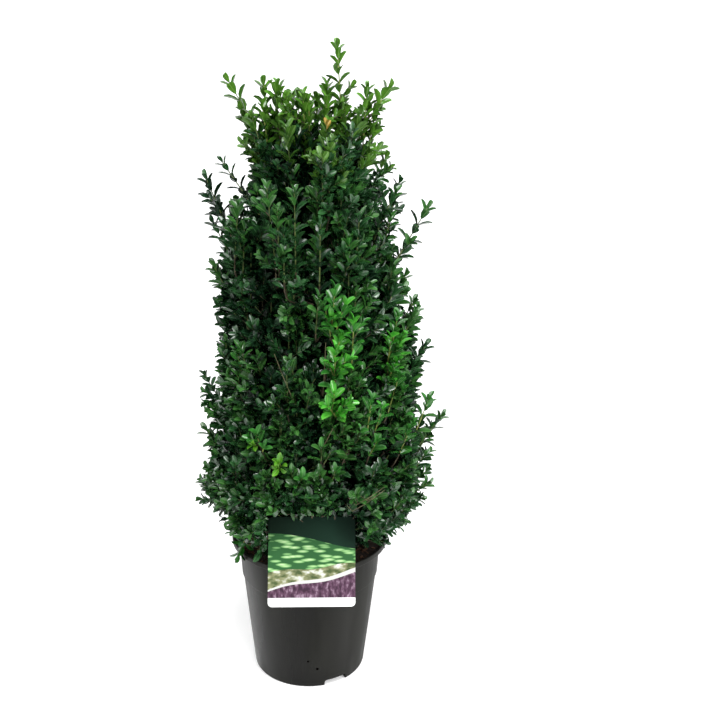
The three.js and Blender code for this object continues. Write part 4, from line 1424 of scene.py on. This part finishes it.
def leaf_shoot(mass, number, shoot):
    """Twig, leaves and side twigs of one shoot."""
    habit = HABITS[mass["tier"]]
    old_spread = habit["old_spread"]
    roll = dice(mass["seed"] * SEEDS_APART + LEAF_SEEDS + number)
    roll()
    fresh = freshness_of(shoot) + (roll() - 0.5) * SHOOT_FRESHNESS
    size = habit["leaf_size"] * shoot.get("larger", 1) * mix(*SHOOT_SIZES, roll())
    direction = shoot["direction"]
    tip = shoot["tip"] - direction * TIP_REACH
    leafy = np.linalg.norm(tip - shoot["bend"]) - BARE_LENGTH
    side = unit(shoot["side"] - direction * np.dot(shoot["side"], direction))
    allowance = max(OUTLINE_ALLOWANCE, min(outside(shoot["tip"]) + OUTLINE_ALLOWANCE, LONG_ALLOWANCE))
    hangs = shoot.get("hangs", False)
    twigs.append(([shoot["start"], shoot["bend"], tip], (SHOOT_ROOT, SHOOT_TIP), fresh))
    axils = leaf_out(roll, tip, direction, side, shoot["turn"], leafy, size, old_spread, fresh, hangs)
    for place, out in axils:
        chance, share, swerve = roll(), roll(), roll()
        outward = unit(polar(math.atan2(place[1], place[0]), 1, LIGHT_FROM))
        if chance > shoot["side_twigs"] or np.dot(out, outward) < SHADED:
            continue
        angle = SIDE_TWIG_ANGLE * mix(*SIDE_TWIG_ANGLES, swerve)
        way = unit(direction * math.cos(angle) + out * math.sin(angle) + outward * LIGHT_PULL)
        length = mix(*SIDE_TWIG_LENGTH, share)
        end = place + way * length
        if outside(end + way * TIP_REACH) > allowance:
            continue
        across = unit(np.cross(way, outward + OFF_AXIS))
        leafy, turn = length - SIDE_TWIG_BARE, swerve * math.pi
        twigs.append(([place, mix(place, end, 0.5), end], SIDE_TWIG_RADII, fresh))
        leaf_out(roll, end, way, across, turn, leafy, size * SIDE_LEAF_SIZE, old_spread, fresh - SIDE_DULLER)


for number, (mass, shoot) in enumerate(sprays):
    leaf_shoot(mass, number, shoot)
print("leaves:", len(leaves), "twigs:", len(twigs))

# %% [markdown]
# Before the leaves are built, those that would stand in front of the card, reach down to the soil, or cover
# the rim at the front left, are left out. Only the hanging tuft crosses the rim.

# %% Keep the card in view
LEAF_CLEARANCE = 3
MIDDLE_CLEARANCE = 5
LEAF_MIDDLE = 0.6
LOWEST_LEAF = 222
RIM_IN_VIEW = (-176 * DEGREE, -124 * DEGREE)
RIM_LOWEST = 258
RIM_INSIDE = 106
root, along, across, size, fresh, hangs = (np.array(column) for column in zip(*leaves))
middle = root + along * (LEAF_LENGTH * LEAF_MIDDLE * size)[:, None]
tips = root + along * (LEAF_LENGTH * size)[:, None]
lowest = np.minimum(root[:, 2], tips[:, 2])
bearing = np.arctan2(tips[:, 1], tips[:, 0])
over_rim = (lowest < RIM_LOWEST) & (np.hypot(tips[:, 0], tips[:, 1]) > RIM_INSIDE)
over_rim &= (bearing > RIM_IN_VIEW[0]) & (bearing < RIM_IN_VIEW[1])
clear_of_card = ~in_label_room(tips, LEAF_CLEARANCE) & ~in_label_room(middle, MIDDLE_CLEARANCE)
clear_of_pot = (lowest > LOWEST_LEAF) & ~over_rim
kept = clear_of_card & (clear_of_pot | hangs)
root, along, across, size, fresh = (part[kept] for part in (root, along, across, size, fresh))
print("leaves kept:", int(kept.sum()))


# %% Meshes from arrays
def mesh_of(name, points, triangles):
    """A smooth mesh object from arrays of points, in millimetres, and of triangles."""
    mesh = bpy.data.meshes.new(name)
    mesh.vertices.add(len(points))
    mesh.vertices.foreach_set("co", (points * MM).astype(np.float32).ravel())
    mesh.loops.add(triangles.size)
    mesh.loops.foreach_set("vertex_index", triangles.astype(np.int32).ravel())
    mesh.polygons.add(len(triangles))
    mesh.polygons.foreach_set("loop_start", np.arange(0, triangles.size, 3, dtype=np.int32))
    mesh.polygons.foreach_set("use_smooth", np.ones(len(triangles), bool))
    mesh.update(calc_edges=True)
    mesh.validate()
    return new_object(name, mesh)


# %% [markdown]
# ## Greens
#
# The leaves are dealt out by freshness to a few greens, from a near black one that paints the shade deep in
# the crown to a sunlit yellow green. Each green is one material: glossy like a waxed leaf, mottled from leaf
# to leaf by noise about as large as a leaf, and a little paler along the midrib, which the leaf's own UV map
# finds.

# %% Leaf material
BLADE = "blade"
LEAF_ROUGHNESS = 0.26
RIB_HALF_WIDTH = 0.05
RIB_SHARE = 0.55  # how far the midrib's colour takes over


def leaf_material(name, gloss, dark, light, rib):
    """A waxy leaf, mottled between two greens, with a paler midrib."""
    material, tree, shader = new_material(name, roughness=LEAF_ROUGHNESS, specular=gloss)
    mottle = ramp(tree, noise(tree, scale=75, detail=2), [(0.36, dark), (0.64, light)])
    sideways = uv_axes(tree, BLADE)[1]
    off_rib = calculate(tree, "ABSOLUTE", calculate(tree, "SUBTRACT", sideways, 0.5))
    on_rib = calculate(tree, "MULTIPLY", calculate(tree, "LESS_THAN", off_rib, RIB_HALF_WIDTH), RIB_SHARE)
    tree.links.new(blend_colours(tree, on_rib, mottle, rib), shader.inputs["Base Color"])
    return material


# Each green's gloss, its dark and light shade, and its midrib.
SHADES = {
    # The first, near black green paints the shade on the old leaves deep in the crown.
    "painted_shade_green": (0.4, (0.0022, 0.0105, 0.004), (0.0065, 0.029, 0.0095), (0.02, 0.06, 0.03)),
    "dark_green": (0.7, (0.006, 0.031, 0.009), (0.018, 0.077, 0.019), (0.06, 0.14, 0.06)),
    "leaf_green": (0.5, (0.014, 0.065, 0.012), (0.037, 0.135, 0.024), (0.12, 0.24, 0.08)),
    "fresh_green": (0.5, (0.0135, 0.09, 0.011), (0.034, 0.172, 0.024), (0.12, 0.28, 0.08)),
    "young_green": (0.5, (0.028, 0.2, 0.015), (0.066, 0.335, 0.031), (0.2, 0.45, 0.09)),
    "lime_green": (0.4, (0.045, 0.18, 0.01), (0.1, 0.29, 0.02), (0.25, 0.42, 0.08)),
    "top_green": (0.5, (0.023, 0.074, 0.009), (0.058, 0.148, 0.018), (0.14, 0.25, 0.055)),
    "sunlit_green": (0.5, (0.034, 0.115, 0.009), (0.08, 0.215, 0.02), (0.18, 0.33, 0.065)),
}
DYING_YELLOW = (0.2, (0.2, 0.13, 0.018), (0.36, 0.25, 0.05), (0.42, 0.33, 0.12))

# The leaves of each green: from and to which freshness, and where on the crown.
FRESHEST = 9
OLDEST = -9
GREENS = [
    # The darkest green is painted shade, for the leaves deep in the crown.
    ("painted_shade_green", OLDEST, -0.14, "all"),
    ("dark_green", -0.14, 0.14, "all"),
    ("leaf_green", 0.14, 0.46, "side"),
    ("fresh_green", 0.46, 0.84, "side"),
    ("young_green", 0.84, 1.75, "side"),
    ("lime_green", 1.75, FRESHEST, "side"),
    ("top_green", 0.14, 0.4, "top"),
    ("sunlit_green", 0.4, FRESHEST, "top"),
]

# %% Build the leaves
TOP_GREENS_FROM = 765
foliage_nodes = [mass["node"] for mass in masses]
at_top = root[:, 2] >= TOP_GREENS_FROM
in_place = {"all": np.ones(len(root), bool), "side": ~at_top, "top": at_top}
half_template = 0.5 + template[:, 1] * 0.5
blade_uv = np.stack([template[:, 0], half_template], axis=1)[LEAF_TRIANGLES.ravel()]
LARGEST_PIECE = 19000  # leaves, so that a piece stays under 200,000 triangles


def build_leaves(name, chosen, material):
    """One piece of joined leaves."""
    points = leaf_points(*(part[chosen] for part in (root, along, across, size, fresh)))
    count = len(chosen)
    firsts = POINTS_PER_LEAF * np.arange(count)
    triangles = (LEAF_TRIANGLES[None] + firsts[:, None, None]).reshape(-1, 3)
    piece = mesh_of(name, points.reshape(-1, 3), triangles)
    blade = piece.data.uv_layers.new(name=BLADE)
    blade.data.foreach_set("uv", np.tile(blade_uv, (count, 1)).astype(np.float32).ravel())
    return finish_piece(piece, material, "foliage", *foliage_nodes)


# A few leaves on one spot are dying off, and have turned yellow.
YELLOW_SPOT = polar(-72 * DEGREE, 64, 834)
YELLOW_LEAVES = 3
YELLOW_SIZE = 0.8
nearest = np.argsort(np.linalg.norm(root - YELLOW_SPOT, axis=1))[:YELLOW_LEAVES]
yellowed = np.zeros(len(root), bool)
yellowed[nearest] = True
size[nearest] *= YELLOW_SIZE
build_leaves("leaves_dying_yellow", nearest, leaf_material("dying_yellow", *DYING_YELLOW))
for name, least, most, where in GREENS:
    material = leaf_material(name, *SHADES[name])
    chosen = np.flatnonzero((fresh >= least) & (fresh < most) & in_place[where] & ~yellowed)
    for part, start in enumerate(range(0, len(chosen), LARGEST_PIECE)):
        build_leaves(f"leaves_{name}_{part + 1}", chosen[start : start + LARGEST_PIECE], material)

# %% [markdown]
# ## Twigs
#
# A twig is a thin tapering rod of four sides. Its shaded length is woody and brown, and the leafy end is
# green, or yellow-green on fresh growth. The rods are built from arrays like the leaves, along a smooth line
# that rounds their bend, and split into a brown piece and two green ones. A few bare twigs are a pale piece.

# %% Twig rods
ROD_SIDES = 4


def rod(line, radii):
    """Points and triangles of a tapering rod along a line of points."""
    line = np.array(line)
    ahead = np.gradient(line, axis=0)
    ahead /= np.linalg.norm(ahead, axis=1)[:, None]
    helper = np.array([1.0, 0, 0]) if abs(ahead[0][0]) < 0.8 else np.array([0, 1.0, 0])
    first = np.cross(ahead, helper)
    first /= np.linalg.norm(first, axis=1)[:, None]
    second = np.cross(ahead, first)
    widths = np.linspace(*radii, len(line))[:, None]
    rings = []
    for corner in range(ROD_SIDES):
        angle = corner * TURN / ROD_SIDES
        rings.append(line + widths * (first * math.cos(angle) + second * math.sin(angle)))
    points = np.stack(rings, axis=1).reshape(-1, 3)
    triangles = []
    for step in range(len(line) - 1):
        for corner in range(ROD_SIDES):
            a = step * ROD_SIDES + corner
            b = step * ROD_SIDES + (corner + 1) % ROD_SIDES
            triangles += [(a, b, b + ROD_SIDES), (a, b + ROD_SIDES, a + ROD_SIDES)]
    return points, np.array(triangles)


def smooth_bend(start, bend, tip, steps):
    """A line from start to tip that rounds the bend."""
    near, far = mix(start, bend, 0.75), mix(bend, tip, 0.25)
    round_the_bend = [mix(mix(near, bend, t), mix(bend, far, t), t) for t in np.linspace(0, 1, steps)]
    return [start, *round_the_bend], [round_the_bend[-1], mix(far, tip, 0.5), tip]


# %% Deal out the twigs
# Bare twigs that show on the front, each from its foot to its end: compass direction, radius and height.
BARE_TWIGS = [
    ((-83, 134, 490), (-82, 139, 566)),
    ((-100, 134, 484), (-110, 139, 548)),
    ((-85, 144, 414), (-79, 155, 452)),
    ((-66, 154, 334), (-52, 165, 356)),
    ((-68, 154, 326), (-57, 164, 345)),
    ((-60, 156, 338), (-51, 163, 350)),
]
BARE_TWIG_RADII = (0.7, 0.3)
ARCH = np.array([1.01, 1.01, 1])
INWARDS = np.array([0.8, 0.8, 1])
BEND_STEPS = 4
CHECKED_PLACES = 6
YOUNG_TWIGS_FROM = 0.3
HEART_WIDTH = 0.7  # beside the bough's tip
rods = {"woody": [], "green": [], "young": [], "pale": []}
for (start, bend, tip), (root_radius, tip_radius), spray_fresh in twigs:
    along_twig = np.array([mix(bend, tip, t) for t in np.linspace(0, 1, CHECKED_PLACES)])
    if in_label_room(along_twig, LEAF_CLEARANCE).any() or bend[2] < LOWEST_LEAF:
        continue
    woody, leafy = smooth_bend(start, bend, tip, BEND_STEPS)
    waist = mix(root_radius, tip_radius, 0.5)
    rods["woody"].append((woody, (root_radius, waist)))
    rods["young" if spray_fresh > YOUNG_TWIGS_FROM else "green"].append((leafy, (waist, tip_radius)))
for ends in BARE_TWIGS:
    foot, end = (polar(at * DEGREE, radius, height) for at, radius, height in ends)
    rods["pale"].append(([foot * INWARDS, foot, mix(foot, end, 0.5) * ARCH, end], BARE_TWIG_RADII))
for mass in masses:
    tip = stem_point(1) if mass["tier"] == "top" else bough_points(mass)[2]
    heart = heart_of(mass)
    width = mass["thickness"] * BOUGH_TIP_SHARE
    rods["woody"].append(([tip, mix(tip, heart, 0.5), heart], (width, width * HEART_WIDTH)))


def build_rods(name, lines, material, slot):
    """One piece of joined twigs."""
    points, triangles, count = [], [], 0
    for line, radii in lines:
        rod_points, rod_triangles = rod(line, radii)
        points.append(rod_points)
        triangles.append(rod_triangles + count)
        count += len(rod_points)
    piece = mesh_of(name, np.concatenate(points), np.concatenate(triangles))
    return finish_piece(piece, material, slot, *foliage_nodes)


# Each kind of twig: its slot, the dark and light colour of its bark, and its roughness.
TWIG_KINDS = {
    "woody": ("bark", (0.035, 0.027, 0.015), (0.085, 0.068, 0.038), 0.75),
    "pale": ("bark", (0.06, 0.052, 0.024), (0.13, 0.115, 0.058), 0.7),
    "green": ("foliage", (0.06, 0.09, 0.025), (0.12, 0.16, 0.045), 0.5),
    "young": ("foliage", (0.14, 0.19, 0.04), (0.26, 0.3, 0.07), 0.45),
}
for kind, (slot, dark, light, roughness) in TWIG_KINDS.items():
    material, tree, shader = new_material(f"{kind}_twig", roughness=roughness, specular=0.35)
    vary(tree, shader, "Base Color", noise(tree, scale=120, detail=3), [(0.35, dark), (0.65, light)])
    build_rods(f"{kind}_twigs", rods[kind], material, slot)

# %% [markdown]
# ## Floor and light
#
# The plant stands on pale paper that curves up behind it, so that no horizon shows. The paper glows faintly,
# which keeps it even and lifts the shadows. Large soft lamps stand to the left and right and overhead.

# %% Floor
FLOOR_SIDE = 7.0
FLOOR_BACK = 2.2
BACKDROP_HEIGHT = 4.0
BACKDROP_BEND = 0.9
PAPER_GLOW = 0.3

floor_size = (FLOOR_SIDE, FLOOR_SIDE, 1)
floor_middle = (0, FLOOR_BACK - FLOOR_SIDE / 2, 0)
floor = start_block(bpy.ops.mesh.primitive_plane_add, "studio_floor", floor_size, floor_middle)
edit(floor)
bpy.ops.mesh.select_mode(type="EDGE")
select_only(floor, "edges", lambda edge: all(vertex.co.y > 0 for vertex in edge.verts))
bpy.ops.mesh.extrude_edges_move(TRANSFORM_OT_translate={"value": (0, 0, BACKDROP_HEIGHT)})
bpy.ops.mesh.select_mode(type="VERT")
leave_edit()
apply_modifier(floor, "BEVEL", width=BACKDROP_BEND, segments=12, limit_method="ANGLE")
smooth(floor, angle=60 * DEGREE)
print("floor corners:", len(floor.data.vertices))

paper, tree, shader = new_material("pale_paper", roughness=0.9, specular=0.1)
shader.inputs["Emission Color"].default_value = (1, 1, 1, 1)
shader.inputs["Emission Strength"].default_value = PAPER_GLOW
vary(tree, shader, "Base Color", noise(tree, scale=3), [(0.3, grey(0.9)), (0.7, grey(0.92))])
floor.data.materials.append(paper)


# %% Lamps
AIM = Vector((0, 0, 0.5))
# Each lamp's place, its width and height, all in metres, and its power in watts.
LAMPS = {
    "overhead": ((0, -0.9, 2.4), 1.1, 1.1, 57),
    "left_front": ((-1.5, -1.6, 1.7), 0.5, 1.2, 14),
    "right_front": ((1.6, -1.4, 1.3), 0.5, 1.4, 44),
}
SURROUNDINGS = 0.42


def soft_lamp(name, place, width, height, power):
    """A soft rectangular lamp at a place, turned to face the plant."""
    data = bpy.data.lights.new(name, "AREA")
    data.shape = "RECTANGLE"
    data.size = width
    data.size_y = height
    data.energy = power
    lamp = new_object(name, data)
    lamp.location = place
    lamp.rotation_euler = (AIM - lamp.location).to_track_quat("-Z", "Y").to_euler()


for name, sizes in LAMPS.items():
    soft_lamp(name, *sizes)

world = bpy.data.worlds.new("studio")
world.use_nodes = True
background = world.node_tree.nodes["Background"]
background.inputs["Color"].default_value = (1, 1, 1, 1)
background.inputs["Strength"].default_value = SURROUNDINGS
bpy.context.scene.world = world
bpy.context.scene.view_settings.view_transform = "Standard"
print("lamps:", list(LAMPS))
